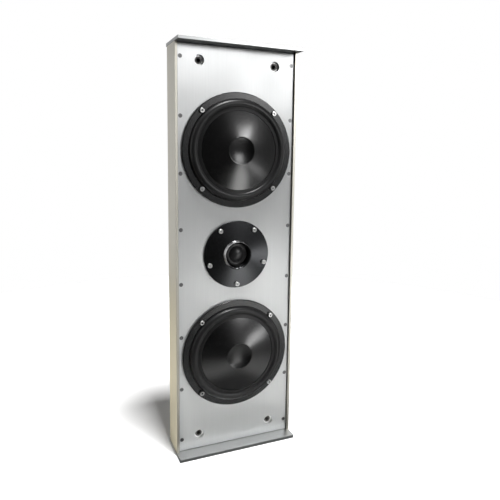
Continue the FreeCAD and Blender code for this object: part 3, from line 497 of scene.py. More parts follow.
@dataclass(frozen=True)
class ScrewSteel(Finish):
    """Bright screw steel with painted shade in its sunk keys.

    Args:
        key: Colour of the painted shade inside the key.
    """

    key: Colour = (0.008, 0.008, 0.008)

    def tint(self, graph: Graph, mask: Socket) -> Socket:
        """Return the steel's colour, with painted shade where the mesh is marked as sunk."""
        sunk = graph.add("Attribute", attribute_name=KEY_SHADE_MARK).outputs["Fac"]
        return graph.between(sunk, super().tint(graph, mask), self.key)


@dataclass(frozen=True)
class WovenCloth(Finish):
    """Cloth or coated silk with a plain weave."""

    def pattern(self, graph: Graph) -> Socket:
        """Return the weave's height."""
        return graph.group(Effects.weave(), "Weave", Vector=graph.place(self.centre), Pitch=self.scale * MM)


@dataclass(frozen=True)
class WoundWire(Finish):
    """Enamelled wire laid turn by turn along Y."""

    def pattern(self, graph: Graph) -> Socket:
        """Return the round back of each turn of wire."""
        return graph.maths("PINGPONG", graph.maths("DIVIDE", graph.axis("Y"), self.scale * MM), 1.0)


@dataclass(frozen=True)
class CircuitBoard(Finish):
    """Solder-masked laminate with copper tracks under the mask.

    Args:
        track: Width of the tracks in the pattern.
    """

    track: float = 0.06

    def pattern(self, graph: Graph) -> Socket:
        """Return the raised tracks."""
        flat = graph.add("CombineXYZ", {"X": graph.axis("X"), "Y": graph.axis("Z")})
        tracks = graph.add("TexBrick", {
            "Vector": flat.outputs[0], "Scale": self.scale, "Mortar Size": self.track,
            "Color1": (0.0, 0.0, 0.0, 1.0), "Color2": (0.2, 0.2, 0.2, 1.0), "Mortar": (1.0, 1.0, 1.0, 1.0)})
        return graph.add("RGBToBW", {"Color": tracks.outputs["Color"]}).outputs[0]


@dataclass(frozen=True)
class TwistedPair(Finish):
    """Sheath of two twisted wires, light and dark in turn along the run."""

    def pattern(self, graph: Graph) -> Socket:
        """Return the stripes of the twist."""
        run = graph.maths("ADD", graph.axis("Z"), graph.maths("ADD", graph.axis("X"), graph.axis("Y")))
        return graph.maths("PINGPONG", graph.maths("DIVIDE", run, self.scale * MM), 1.0)


PANEL = BrushedMetal(
    "brushed_panel", dark=(0.68, 0.69, 0.69), light=(0.74, 0.75, 0.75), gloss=(0.40, 0.44), metal=0.82,
    relief=0.05, depth=0.04, scale=2600.0, stretch=0.75)
# Painted shade on the plates' downward faces.
PLATE = replace(
    PANEL, name="brushed_plate", dark=(0.41, 0.42, 0.42), light=(0.47, 0.48, 0.48), gloss=(0.34, 0.40),
    metal=1.0, stretch=0.0, grain=Grain.ACROSS, shade_side=(0.0, 0.0, -1.0), shade_share=0.07)
# The side walls' inner faces get the painted shade of FoldedSheet.
SIDES = FoldedSheet(
    "satin_sides", dark=(0.61, 0.59, 0.52), light=(0.69, 0.67, 0.60), gloss=(0.38, 0.44), metal=1.0,
    relief=0.05, depth=0.04, scale=2600.0)
RAILS = replace(
    PANEL, name="drawn_rails", dark=(0.50, 0.51, 0.52), light=(0.64, 0.65, 0.66), gloss=(0.28, 0.40),
    metal=1.0, stretch=0.0)
BLACK_SCREW = Finish(
    "dark_screw", dark=(0.10, 0.10, 0.105), light=(0.26, 0.26, 0.26), gloss=(0.28, 0.44), metal=1.0,
    relief=0.2, depth=0.03, scale=2400.0)
# Screw steel with painted shade in the keys.
STAINLESS = ScrewSteel(
    "bright_stainless", dark=(0.44, 0.44, 0.44), light=(0.60, 0.60, 0.59), gloss=(0.28, 0.36), metal=1.0,
    relief=0.1, depth=0.02, scale=3000.0)
BUSH = Finish(
    "turned_bush", dark=(0.84, 0.84, 0.83), light=(0.94, 0.94, 0.93), gloss=(0.42, 0.50), metal=0.6,
    relief=0.1, depth=0.02, scale=2600.0)
INSERT = Finish(
    "socket_rubber", dark=(0.035, 0.034, 0.032), light=(0.10, 0.095, 0.09), gloss=(0.35, 0.5),
    relief=0.25, depth=0.05, scale=1500.0)
FOAM = Finish(
    "sealing_foam", dark=(0.02, 0.02, 0.022), light=(0.06, 0.06, 0.062), gloss=(0.8, 0.95), relief=0.6,
    depth=0.3, scale=1100.0, sheen=0.2)
CASTING = Finish(
    "painted_casting", dark=(0.004, 0.0044, 0.0047), light=(0.009, 0.0095, 0.01), gloss=(0.21, 0.27),
    relief=0.1, depth=0.04, scale=1500.0, dust=0.02, specular=0.5)
ROLL = TurnedFinish(
    "surround_rubber", dark=(0.005, 0.005, 0.0053), light=(0.012, 0.012, 0.0125), gloss=(0.34, 0.42),
    relief=0.06, depth=0.04, scale=1.1, specular=0.32)
CONE = Finish(
    "gloss_cone", dark=(0.0012, 0.0012, 0.0013), light=(0.0022, 0.0022, 0.0024), gloss=(0.18, 0.21),
    relief=0.015, depth=0.02, scale=700.0, coat=0.1, specular=1.0)
CAP = replace(
    CONE, name="satin_cap", dark=(0.001, 0.001, 0.0011), light=(0.002, 0.002, 0.0022), gloss=(0.20, 0.24),
    coat=0.0, specular=0.45)
FORMER = WoundWire(
    "foil_and_winding", dark=(0.42, 0.20, 0.09), light=(0.76, 0.46, 0.26), gloss=(0.25, 0.4), metal=1.0,
    relief=0.4, depth=0.15, scale=0.375)
SPIDER = WovenCloth(
    "spider_cloth", dark=(0.40, 0.29, 0.13), light=(0.62, 0.50, 0.27), gloss=(0.7, 0.9), relief=0.5,
    depth=0.12, scale=0.7, sheen=0.2)
ZINC = Finish(
    "zinc_plate", dark=(0.46, 0.47, 0.47), light=(0.66, 0.66, 0.60), gloss=(0.28, 0.46), metal=1.0,
    relief=0.1, depth=0.03, scale=700.0)
FERRITE = Finish(
    "bare_ferrite", dark=(0.04, 0.04, 0.043), light=(0.10, 0.10, 0.106), gloss=(0.55, 0.75), relief=0.35,
    depth=0.12, scale=1000.0)
FIBRE = WovenCloth(
    "fibre_strip", dark=(0.16, 0.08, 0.035), light=(0.30, 0.17, 0.08), gloss=(0.5, 0.7), relief=0.2,
    depth=0.05, scale=0.9)
FACE = MouthRing(
    "satin_black_face", dark=(0.038, 0.039, 0.041), light=(0.046, 0.047, 0.049), gloss=(0.18, 0.21),
    metal=1.0, relief=0.03, depth=0.02, scale=1800.0, centre=TWEETER_PLACE)
DOME = WovenCloth(
    "coated_silk", dark=(0.006, 0.006, 0.0065), light=(0.016, 0.016, 0.017), gloss=(0.28, 0.40),
    relief=0.22, depth=0.05, scale=0.35, centre=TWEETER_PLACE, sheen=0.03)
MOULDING = Finish(
    "moulded_black", dark=(0.016, 0.016, 0.017), light=(0.034, 0.034, 0.035), gloss=(0.42, 0.60),
    relief=0.3, depth=0.08, scale=1300.0)
RED_CAP = Finish(
    "red_cap", dark=(0.30, 0.012, 0.012), light=(0.46, 0.025, 0.022), gloss=(0.24, 0.36), relief=0.08,
    depth=0.03, scale=1300.0, coat=0.2)
BLACK_CAP = Finish(
    "black_cap", dark=(0.010, 0.010, 0.011), light=(0.024, 0.024, 0.025), gloss=(0.24, 0.36), relief=0.08,
    depth=0.03, scale=1300.0, coat=0.2)
BOARD = CircuitBoard(
    "circuit_board", dark=(0.010, 0.075, 0.030), light=(0.03, 0.17, 0.07), gloss=(0.28, 0.4), relief=0.3,
    depth=0.05, scale=90.0)
NYLON = Finish(
    "natural_nylon", dark=(0.62, 0.61, 0.55), light=(0.76, 0.75, 0.70), gloss=(0.4, 0.52), relief=0.1,
    depth=0.03, scale=900.0)
COPPER = WoundWire(
    "enamelled_copper", dark=(0.26, 0.085, 0.03), light=(0.66, 0.30, 0.14), gloss=(0.2, 0.34), metal=1.0,
    relief=0.5, depth=0.3, scale=0.5)
FILM = Finish(
    "capacitor_wrap", dark=(0.50, 0.37, 0.045), light=(0.68, 0.54, 0.09), gloss=(0.22, 0.34), relief=0.06,
    depth=0.04, scale=500.0, coat=0.3)
FIBRES = Finish(
    "polyester_fibre", dark=(0.56, 0.56, 0.54), light=(0.88, 0.88, 0.86), gloss=(0.85, 1.0), relief=0.9,
    depth=1.2, scale=320.0, sheen=0.4)
LEAD = TwistedPair(
    "twisted_pair", dark=(0.05, 0.008, 0.008), light=(0.30, 0.03, 0.028), gloss=(0.35, 0.5), relief=0.5,
    depth=0.5, scale=3.2)


# Mesh tools


def arc(centre: Point, radius: float, start: float, stop: float, count: int) -> list[Point]:
    """Return points along an arc of a profile.

    Args:
        centre: The arc's middle as radius from the axis and depth.
        radius: The arc's radius.
        start: First angle in degrees; 0 points away from the axis and -90 to the front.
        stop: Last angle in degrees.
        count: Number of steps.

    Returns:
        The points, ends included.
    """
    angles = [math.radians(start + (stop - start) * step / count) for step in range(count + 1)]
    return [(centre[0] + radius * math.cos(a), centre[1] + radius * math.sin(a)) for a in angles]


def spin(bm: bmesh.types.BMesh, profile: Sequence[Point], place: Place = (0.0, 0.0, 0.0), steps: int = 128,
         closed: bool = False) -> list[bmesh.types.BMVert]:
    """Turn a profile round an axis along Y.

    Args:
        bm: The mesh to add to.
        profile: Points as radius and depth in millimetres.
        place: Where the axis runs and where depth 0 lies, in millimetres.
        steps: Segments round the axis.
        closed: Whether the last point joins the first.

    Returns:
        The turned piece's vertices.
    """
    kept = set(bm.verts)
    verts = [bm.verts.new(((place[0] + r) * MM, (place[1] + y) * MM, place[2] * MM)) for r, y in profile]
    pairs = list(zip(verts, verts[1:])) + ([(verts[-1], verts[0])] if closed else [])
    edges = [bm.edges.new(pair) for pair in pairs]
    bmesh.ops.spin(bm, geom=verts + edges, cent=Vector(place) * MM, axis=(0.0, 1.0, 0.0), angle=FULL_TURN,
                   steps=steps, use_merge=True)
    made = [v for v in bm.verts if v not in kept]
    bmesh.ops.remove_doubles(bm, verts=made, dist=MERGE)
    made = [v for v in bm.verts if v not in kept]
    bmesh.ops.recalc_face_normals(bm, faces=list({f for v in made for f in v.link_faces}))
    return made


def face_front(bm: bmesh.types.BMesh) -> None:
    """Turn an open skin so that its faces look to the front on the whole."""
    if sum(f.normal.y * f.calc_area() for f in bm.faces) > 0.0:
        bmesh.ops.reverse_faces(bm, faces=bm.faces[:])


def copies(bm: bmesh.types.BMesh, spots: Sequence[Place]) -> None:
    """Repeat a mesh made at the first spot at the other spots, given in millimetres."""
    master = bm.verts[:] + bm.edges[:] + bm.faces[:]
    first = Vector(spots[0])
    for spot in spots[1:]:
        made = bmesh.ops.duplicate(bm, geom=master)["geom"]
        verts = [g for g in made if isinstance(g, bmesh.types.BMVert)]
        bmesh.ops.translate(bm, vec=(Vector(spot) - first) * MM, verts=verts)


def round_spots(radius: float, count: int, start: float, place: Place) -> list[Place]:
    """Return spots evenly round an axis along Y.

    Args:
        radius: Distance from the axis.
        count: Number of spots.
        start: Angle of the first spot in degrees.
        place: Middle of the circle.

    Returns:
        The spots in millimetres.
    """
    angles = [math.radians(start + 360.0 * index / count) for index in range(count)]
    return [(place[0] + radius * math.cos(a), place[1], place[2] + radius * math.sin(a)) for a in angles]


def add_object(name: str, data: bpy.types.ID) -> bpy.types.Object:
    """Add an object to the scene and return it."""
    made = bpy.data.objects.new(name, data)
    bpy.context.scene.collection.objects.link(made)
    return made


def piece(bm: bmesh.types.BMesh, name: str, finish: Finish) -> bpy.types.Object:
    """Make an object of a finished mesh.

    Args:
        bm: The mesh, which is freed.
        name: The piece's name.
        finish: Its finish.

    Returns:
        The object, smooth shaded up to its sharp edges.
    """
    mesh = bpy.data.meshes.new(name)
    bm.to_mesh(mesh)
    bm.free()
    mesh.shade_smooth()
    mesh.set_sharp_from_angle(angle=SMOOTH_ANGLE)
    mesh.materials.append(finish.make())
    made = add_object(name, mesh)
    log.info("%s: %d faces", name, len(mesh.polygons))
    return made


def skin(name: str, line: Sequence[Point], place: Place, wall: float, finish: Finish,
         steps: int = 160) -> bpy.types.Object:
    """Turn a front line into a thin piece of even wall.

    Args:
        name: The piece's name.
        line: The front line as radius and depth in millimetres.
        place: Where the axis runs.
        wall: Thickness behind the front line, in millimetres.
        finish: The piece's finish.
        steps: Segments round the axis.

    Returns:
        The piece.
    """
    bm = bmesh.new()
    spin(bm, line, place, steps)
    face_front(bm)
    bmesh.ops.solidify(bm, geom=bm.faces[:], thickness=wall * MM)
    return piece(bm, name, finish)


def stand_for(made: bpy.types.Object, body: Body, *nodes: str) -> bpy.types.Object:
    """Let a piece ride on a body in place of CAD nodes and return it."""
    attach(made, body.value)
    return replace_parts(made, *nodes)


def dress(finish: Finish, *nodes: str) -> None:
    """Give CAD nodes a finish on every material slot."""
    for node in nodes:
        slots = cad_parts[node].data.materials
        for index in range(len(slots)):
            slots[index] = finish.make()
        if not slots:
            slots.append(finish.make())
        log.info("%s: %s", node, finish.name)


def dress_motor(driver: str) -> None:
    """Dress a driver's washer, yoke, magnet and terminal strip."""
    dress(ZINC, driver + "_front_washer", driver + "_yoke")
    dress(FERRITE, driver + "_magnet")
    dress(FIBRE, driver + "_terminals")


def flex(made: bpy.types.Object, body: Body, fixed: float, moving: float, height: float, node: str) -> None:
    """Fix a ring-shaped piece where it stands, in place of a CAD node.

    Args:
        made: The piece.
        body: The cone's body; not used.
        fixed: Radius, in millimetres, from which the piece would stay with the cabinet; not used.
        moving: Radius from which it would move with the cone; not used.
        height: Height of the axis; not used.
        node: The CAD node that the piece stands for.
    """
    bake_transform(made)
    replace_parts(made, node)


# Sub-assemblies


@dataclass
class CapScrew:
    """A socket-head screw, seated on depth 0 of its place."""

    head: float = 7.0
    height: float = 4.0
    key: float = 3.0
    key_depth: float = 2.2
    shank: float = 4.0
    length: float = 9.0
    chamfer: float = 0.45
    break_edge: float = 0.2
    point: float = 0.6
    sides: int = 32

    def build(self, name: str, spots: Sequence[Place]) -> bpy.types.Object:
        """Turn one screw, sink its key and repeat it.

        Args:
            name: The piece's name.
            spots: Where the heads seat, in millimetres.

        Returns:
            All the screws as one piece.
        """
        bm = bmesh.new()
        mark = bm.faces.layers.float.new(KEY_SHADE_MARK)
        side, shank = self.head / 2.0, self.shank / 2.0
        spin(bm, [
            (side - self.chamfer, -self.height), (side, self.chamfer - self.height),
            (side, -self.break_edge), (side - self.break_edge, 0.0),
            (shank, 0.0), (shank, self.length - self.point),
            (shank - self.point, self.length), (0.0, self.length)], spots[0], self.sides)
        rim_edges = [e for e in bm.edges if e.is_boundary]
        front = Vector((spots[0][0], spots[0][1] - self.height, spots[0][2])) * MM
        upright = Matrix.Translation(front) @ Matrix.Rotation(math.radians(90.0), 4, "X")
        corner = self.key / math.sqrt(3.0) * MM
        key = bmesh.ops.create_circle(bm, segments=6, radius=corner, matrix=upright)["verts"]
        key_edges = list({e for v in key for e in v.link_edges})
        bmesh.ops.bridge_loops(bm, edges=rim_edges + key_edges)
        sunk = bmesh.ops.extrude_edge_only(bm, edges=key_edges)["geom"]
        floor = [g for g in sunk if isinstance(g, bmesh.types.BMVert)]
        bmesh.ops.translate(bm, vec=(0.0, self.key_depth * MM, 0.0), verts=floor)
        bottom = bmesh.ops.contextual_create(bm, geom=floor)["faces"]
        # Mark the key's floor and walls for the steel's painted shade.
        for face in bottom + [g for g in sunk if isinstance(g, bmesh.types.BMFace)]:
            face[mark] = 1.0
        bmesh.ops.recalc_face_normals(bm, faces=bm.faces[:])
        copies(bm, spots)
        return piece(bm, name, STAINLESS)


@dataclass
class Cabinet:
    """Folded shell, baffle, end plates, rails, seals and their screws."""

    seal_height: float = 612.0
    seal_side: float = 9.0
    seal_front: float = -6.5
    seal_thick: float = 1.0
    seal_x: float = 86.5
    seal_middle: float = 311.0
    seal_edge: float = 0.35
    seal_cuts: int = 40

    def dress(self) -> None:
        """Give the metal parts and their screws their finishes."""
        dress(SIDES, "shell")
        dress(PANEL, "baffle")
        dress(PLATE, "top_plate", "bottom_plate")
        dress(RAILS, "front_rail_left", "front_rail_right", "rear_rail_left", "rear_rail_right")
        dress(BLACK_SCREW, "baffle_screws", "plate_screws")
        dress(BUSH, "socket_bushes")
        dress(INSERT, "socket_inserts")

    def build_seals(self) -> None:
        """Make the two foam strips behind the baffle, with soft edges."""
        bm = bmesh.new()
        bmesh.ops.create_cube(bm, size=1.0)
        size = Vector((self.seal_side, self.seal_thick, self.seal_height)) * MM
        bmesh.ops.scale(bm, vec=size, verts=bm.verts)
        bmesh.ops.bevel(bm, geom=self.lengthways(bm), offset=self.seal_edge * MM, offset_type="OFFSET",
                        affect="EDGES", segments=3, profile=0.5, material=-1)
        bmesh.ops.subdivide_edges(bm, edges=self.lengthways(bm), cuts=self.seal_cuts, use_grid_fill=True)
        depth = self.seal_front + self.seal_thick / 2.0
        spots = [(side * self.seal_x, depth, self.seal_middle) for side in (-1, 1)]
        bmesh.ops.translate(bm, vec=Vector(spots[0]) * MM, verts=bm.verts)
        copies(bm, spots)
        stand_for(piece(bm, "foam_seals", FOAM), Body.CABINET, "baffle_seals")

    def lengthways(self, bm: bmesh.types.BMesh) -> list[bmesh.types.BMEdge]:
        """Return the edges that run along the strip."""
        least = self.seal_height * MM / 2.0
        return [e for e in bm.edges if abs(e.verts[0].co.z - e.verts[1].co.z) > least]


@dataclass
class Woofer:
    """One woofer: basket, moving parts, motor and screws about an axis along Y.

    Args:
        steps: Segments round the pieces that show.
        hidden_steps: Segments round the pieces inside.
        roll_span: First and last angle of the half roll, in degrees.
        roll_gives: Radius that would stay with the cabinet, and radius that would move with the cone; not
            used.
        cone_reach: Width of the cone from its neck, and how far it falls back.
        spider_gives: Outer and inner radius of the pleats.
        spider_ends: Outer and inner radius of the spider.
        former: Bore and outer radius of the voice coil's former.
        former_ends: Depths of its back and its front.
        coil_wire: Radii at the foot and the crown of a turn of wire.
    """

    prefix: str
    height: float
    body: Body
    front: float = -16.5
    screw_circle: float = 79.5
    steps: int = 192
    hidden_steps: int = 96
    roll_middle: Point = (68.54, -17.63)
    roll_radius: float = 6.6
    roll_span: Point = (11.6, -139.7)
    roll_wall: float = 1.0
    roll_gives: Point = (75.0, 63.5)
    cone_neck: Point = (19.0, -31.5)
    cone_reach: Point = (45.0, 10.6)
    cone_bow: float = 0.5
    cone_wall: float = 1.2
    cone_rings: int = 24
    dish_middle: Point = (0.0, -104.62)
    dish_radius: float = 75.0
    dish_start: float = 74.93
    cap_wall: float = 0.75
    spider_depth: float = -4.6
    spider_pleats: int = 8
    spider_pleat: float = 0.7
    spider_gives: Point = (49.5, 21.0)
    spider_ends: Point = (54.0, 19.0)
    spider_wall: float = 0.6
    spider_rings: int = 128
    former: Point = (18.4, 19.0)
    former_ends: Point = (11.0, -29.2)
    coil_start: float = 2.0
    coil_turns: int = 12
    coil_pitch: float = 0.75
    coil_wire: Point = (19.3, 19.9)

    @property
    def place(self) -> Place:
        """Return where the woofer's axis runs."""
        return (0.0, 0.0, self.height)

    def finish(self, base: Finish) -> Finish:
        """Return a finish whose rings run round this woofer's axis."""
        return replace(base, name="%s_%s" % (self.prefix, base.name), centre=self.place)

    def build(self) -> None:
        """Build the moving parts and the screws, and dress the rest."""
        self.build_surround()
        self.build_cone()
        self.build_spider()
        self.build_voice_coil()
        seat = (0.0, self.front, self.height)
        spots = round_spots(self.screw_circle, count=4, start=45.0, place=seat)
        screws = CapScrew().build(self.prefix + "_cap_screws", spots)
        stand_for(screws, Body.CABINET, self.prefix + "_screws")
        dress(CASTING, self.prefix + "_basket")
        dress_motor(self.prefix)

    def build_surround(self) -> None:
        """Mould the rubber foot, half roll and lip."""
        foot = [(76.0, -16.2), (75.7, -16.3)]
        roll = arc(self.roll_middle, self.roll_radius, *self.roll_span, count=28)
        lip = [(58.7, -23.15), (58.5, -22.9)]
        made = skin(self.prefix + "_rubber_roll", foot + roll + lip, self.place, self.roll_wall,
                    self.finish(ROLL), self.steps)
        flex(made, self.body, *self.roll_gives, self.height, self.prefix + "_surround")

    def build_cone(self) -> None:
        """Make the gloss cone, faintly bowed, and the dished cap on its neck."""
        (radius, depth), (width, fall) = self.cone_neck, self.cone_reach
        line = []
        for ring in range(self.cone_rings + 1):
            part = ring / self.cone_rings
            bow = self.cone_bow * math.sin(math.pi * part)
            line.append((radius + width * part, depth + fall * part - bow))
        cone = skin(self.prefix + "_cone_skin", line, self.place, self.cone_wall, self.finish(CONE),
                    self.steps)
        stand_for(cone, self.body, self.prefix + "_cone")
        dish = arc(self.dish_middle, self.dish_radius, self.dish_start, 90.0, count=20)
        rim = [(20.5, -31.6), (20.47, -32.0), (20.38, -32.2), (20.2, -32.3), (20.0, -32.27)]
        cap = skin(self.prefix + "_dished_cap", rim + dish, self.place, self.cap_wall, self.finish(CAP),
                   self.steps)
        stand_for(cap, self.body, self.prefix + "_dust_cap")

    def build_spider(self) -> None:
        """Press the corrugated spider."""
        outside, inside = self.spider_gives
        line = [(self.spider_ends[0], self.spider_depth)]
        for ring in range(self.spider_rings, -1, -1):
            swing = 1.0 - math.cos(FULL_TURN * self.spider_pleats * ring / self.spider_rings)
            radius = inside + (outside - inside) * ring / self.spider_rings
            line.append((radius, self.spider_depth - self.spider_pleat * swing))
        line.append((self.spider_ends[1], self.spider_depth))
        cloth = skin(self.prefix + "_pleated_spider", line, self.place, self.spider_wall,
                     self.finish(SPIDER), self.hidden_steps)
        flex(cloth, self.body, outside, inside, self.height, self.prefix + "_spider")

    def build_voice_coil(self) -> None:
        """Wind the coil turn by turn on the end of its former."""
        (bore, outside), (back, front) = self.former, self.former_ends
        low, high = self.coil_wire
        foot, crown = self.coil_pitch * 0.46, self.coil_pitch * 0.2
        line = [(bore, back), (bore, front), (outside, front), (outside, self.coil_start)]
        for turn in range(self.coil_turns):
            middle = self.coil_start + self.coil_pitch * (turn + 0.5)
            line += [(low, middle - foot), (high, middle - crown)]
            line += [(high, middle + crown), (low, middle + foot)]
        line.append((outside, back))
        bm = bmesh.new()
        spin(bm, line, self.place, self.hidden_steps, closed=True)
        coil = piece(bm, self.prefix + "_wound_coil", FORMER)
        stand_for(coil, self.body, self.prefix + "_voice_coil")


@dataclass
class Tweeter:
    """Dome tweeter in the middle of the baffle."""

    place: Place = TWEETER_PLACE
    face_front: float = -15.5
    screw_circle: float = 46.0
    dome_middle: Point = (0.0, 0.376)
    dome_radius: float = 18.376
    dome_edge: float = -46.7
    roll_middle: Point = (14.8, -11.78)
    roll_radius: float = 1.97
    roll_span: Point = (-138.0, -21.0)
    film: float = 0.5

    def build(self) -> None:
        """Form the diaphragm, set the screws and dress the rest."""
        dome = arc(self.dome_middle, self.dome_radius, -90.0, self.dome_edge, count=24)
        roll = arc(self.roll_middle, self.roll_radius, *self.roll_span, count=14)
        flange = [(17.2, -12.5), (34.0, -12.5)]
        line = (dome + roll + flange)[::-1]
        film = skin("tweeter_dome_film", line, self.place, self.film, DOME, steps=128)
        stand_for(film, Body.CABINET, "tweeter_diaphragm")
        seat = (self.place[0], self.face_front, self.place[2])
        spots = round_spots(self.screw_circle, count=5, start=-90.0, place=seat)
        stand_for(CapScrew().build("tweeter_cap_screws", spots), Body.CABINET, "tweeter_screws")
        dress(FACE, "tweeter_face")
        dress(FORMER, "tweeter_voice_coil")
        dress_motor("tweeter")


@dataclass
class TerminalBay:
    """Terminal cup with its two binding posts."""

    height: float = 42.0
    spacing: float = 19.0
    floor: float = 16.0
    grip_radius: float = 4.7
    grip_ends: Point = (4.7, 14.6)
    ribs: int = 36
    rib: float = 0.3

    def build(self) -> None:
        """Turn both ribbed posts and dress the cup."""
        for name, side, finish in (("red", -1.0, RED_CAP), ("black", 1.0, BLACK_CAP)):
            place = (side * self.spacing / 2.0, self.floor, self.height)
            made = self.post("ribbed_post_" + name, place, finish)
            stand_for(made, Body.CABINET, "binding_post_" + name)
        dress(MOULDING, "terminal_cup")
        dress(BLACK_SCREW, "terminal_cup_screws")
        dress(ZINC, "binding_post_nuts")

    def post(self, name: str, place: Place, finish: Finish) -> bpy.types.Object:
        """Turn one post: stud, collar and a cap with gripping ribs and a plug hole.

        Args:
            name: The piece's name.
            place: Middle of the collar's underside.
            finish: Finish of the cap.

        Returns:
            The post.
        """
        bm = bmesh.new()
        stud = [(0.0, -9.0), (2.0, -9.0), (2.0, 0.0)]
        collar = [(5.7, 0.0), (6.0, 0.3), (6.0, 2.7), (5.7, 3.0), (4.4, 3.0), (4.4, 4.4)]
        grip = [(self.grip_radius, depth) for depth in self.grip_ends]
        end = [(4.3, 15.4), (3.6, 16.0), (2.2, 16.0)]
        plug_hole = [(2.0, 15.8), (2.0, 8.0), (0.0, 8.0)]
        spin(bm, stud + collar + grip + end + plug_hole, place, self.ribs)
        middle = Vector((place[0], place[1] + sum(self.grip_ends) / 2.0, place[2])) * MM
        facets = []
        for face in bm.faces:
            aside = face.calc_center_median() - middle
            if abs(aside.y) < MERGE:
                facets.append((math.atan2(aside.z, aside.x), face))
        facets.sort(key=lambda facet: facet[0])
        every_other = [face for _, face in facets[::2]]
        for face in bmesh.ops.extrude_discrete_faces(bm, faces=every_other)["faces"]:
            bmesh.ops.translate(bm, vec=face.normal * self.rib * MM, verts=face.verts)
        return piece(bm, name, finish)


@dataclass
class Crossover:
    """Crossover board with its coils and capacitors."""

    board_front: float = 23.9
    board_z: float = 236.0
    coil_x: float = 27.0
    coil_drop: float = 8.0
    coil_turns: int = 13
    coil_pitch: float = 1.0
    coil_bore: float = 7.0
    coil_ends: Point = (-12.8, -0.2)
    can_x: float = 24.0
    can_lift: float = 18.0
    can_radius: float = 6.5

    def build(self) -> None:
        """Wind the coils, wrap the capacitors and dress the board."""
        for name, side in (("woofer", -1.0), ("tweeter", 1.0)):
            self.wind(name, side)
            self.wrap(name, side)
        dress(BOARD, "crossover_board")
        dress(NYLON, "board_spacers")

    def wind(self, name: str, side: float) -> None:
        """Wind one air-cored coil of round wire.

        Args:
            name: The driver that the coil serves.
            side: -1 for the left coil and 1 for the right one.
        """
        back = ((16.4, 0.46), (16.85, 0.26), (17.0, 0.0), (16.85, -0.26), (16.4, -0.46))
        line = [(self.coil_bore, depth) for depth in self.coil_ends]
        for turn in range(self.coil_turns):
            middle = -self.coil_pitch * (turn + 0.5)
            line += [(radius, middle + aside) for radius, aside in back]
        bm = bmesh.new()
        place = (side * self.coil_x, self.board_front, self.board_z - self.coil_drop)
        spin(bm, line, place, steps=72, closed=True)
        coil = piece(bm, name + "_wound_inductor", COPPER)
        stand_for(coil, Body.CABINET, name + "_inductor")

    def wrap(self, name: str, side: float) -> None:
        """Make one wrapped capacitor with crimped, sealed ends.

        Args:
            name: The driver that the capacitor serves.
            side: -1 for the left one and 1 for the right one.
        """
        bm = bmesh.new()
        crimp = [(4.6, -13.4), (5.0, -13.6), (5.4, -13.95), (6.1, -13.9)]
        end = [(0.0, -13.4)] + crimp + [(self.can_radius, -13.4)]
        spin(bm, end + [(radius, -along) for radius, along in end[::-1]], steps=64)
        lying = Matrix.Rotation(math.radians(90.0), 4, "Z")
        depth = self.board_front - self.can_radius
        middle = Vector((side * self.can_x, depth, self.board_z + self.can_lift)) * MM
        bmesh.ops.transform(bm, matrix=Matrix.Translation(middle) @ lying, verts=bm.verts)
        can = piece(bm, name + "_wrapped_capacitor", FILM)
        stand_for(can, Body.CABINET, name + "_capacitor")


@dataclass
class Filling:
    """Wadding, inner leads and the pressed cups behind the keyholes."""

    wadding_low: Place = (-48.2, 9.0, 526.7)
    wadding_high: Place = (48.2, 31.2, 616.7)
    cuts: int = 23
    rounds: int = 3
    lump: float = 0.45
    waves: Place = (310.0, 270.0, 520.0)
    wave_shift: float = 1.3

    def build(self) -> None:
        """Fluff up the wadding and dress the leads and cups."""
        low, high = Vector(self.wadding_low) * MM, Vector(self.wadding_high) * MM
        bm = bmesh.new()
        bmesh.ops.create_cube(bm, size=1.0)
        bmesh.ops.scale(bm, vec=high - low, verts=bm.verts)
        bmesh.ops.subdivide_edges(bm, edges=bm.edges[:], cuts=self.cuts, use_grid_fill=True)
        for _ in range(self.rounds):
            bmesh.ops.smooth_vert(bm, verts=bm.verts[:], factor=0.5, use_axis_x=True, use_axis_y=True,
                                  use_axis_z=True)
        bm.normal_update()
        along, up, slant = self.waves
        for vert in bm.verts:
            broad = math.sin(along * vert.co.x + self.wave_shift) * math.sin(up * vert.co.z)
            fine = math.sin(slant * (vert.co.x - vert.co.z))
            bmesh.ops.translate(bm, vec=vert.normal * (broad + fine - 2.0) * self.lump * MM, verts=[vert])
        bmesh.ops.translate(bm, vec=(low + high) / 2.0, verts=bm.verts)
        fluff = stand_for(piece(bm, "fibre_wadding", FIBRES), Body.CABINET, "wadding")
        dress(LEAD, "input_lead", "lower_woofer_lead", "upper_woofer_lead", "tweeter_lead")
        dress(ZINC, "hanger_cups")


# Studio


@dataclass(frozen=True)
class Softbox:
    """One flat lamp.

    Args:
        name: The lamp's name.
        place: Where it stands, in metres.
        aim: What it points at.
        size: Width and height in metres.
        power: Its power in watts.
        glint: Whether it only shows in gloss.
        spread: Angle of its beam in degrees.
    """

    name: str
    place: Place
    aim: Place
    size: Point
    power: float
    glint: bool = False
    spread: float = 180.0

    def hang(self) -> bpy.types.Object:
        """Hang the lamp and return it."""
        lamp = bpy.data.lights.new(self.name, "AREA")
        lamp.shape = "RECTANGLE"
        lamp.size, lamp.size_y = self.size
        lamp.energy = self.power
        lamp.spread = math.radians(self.spread)
        made = add_object(self.name, lamp)
        made.visible_diffuse = not self.glint
        made.location = self.place
        made.rotation_mode = "QUATERNION"
        made.rotation_quaternion = (Vector(self.aim) - Vector(self.place)).to_track_quat("-Z", "Y")
        return made


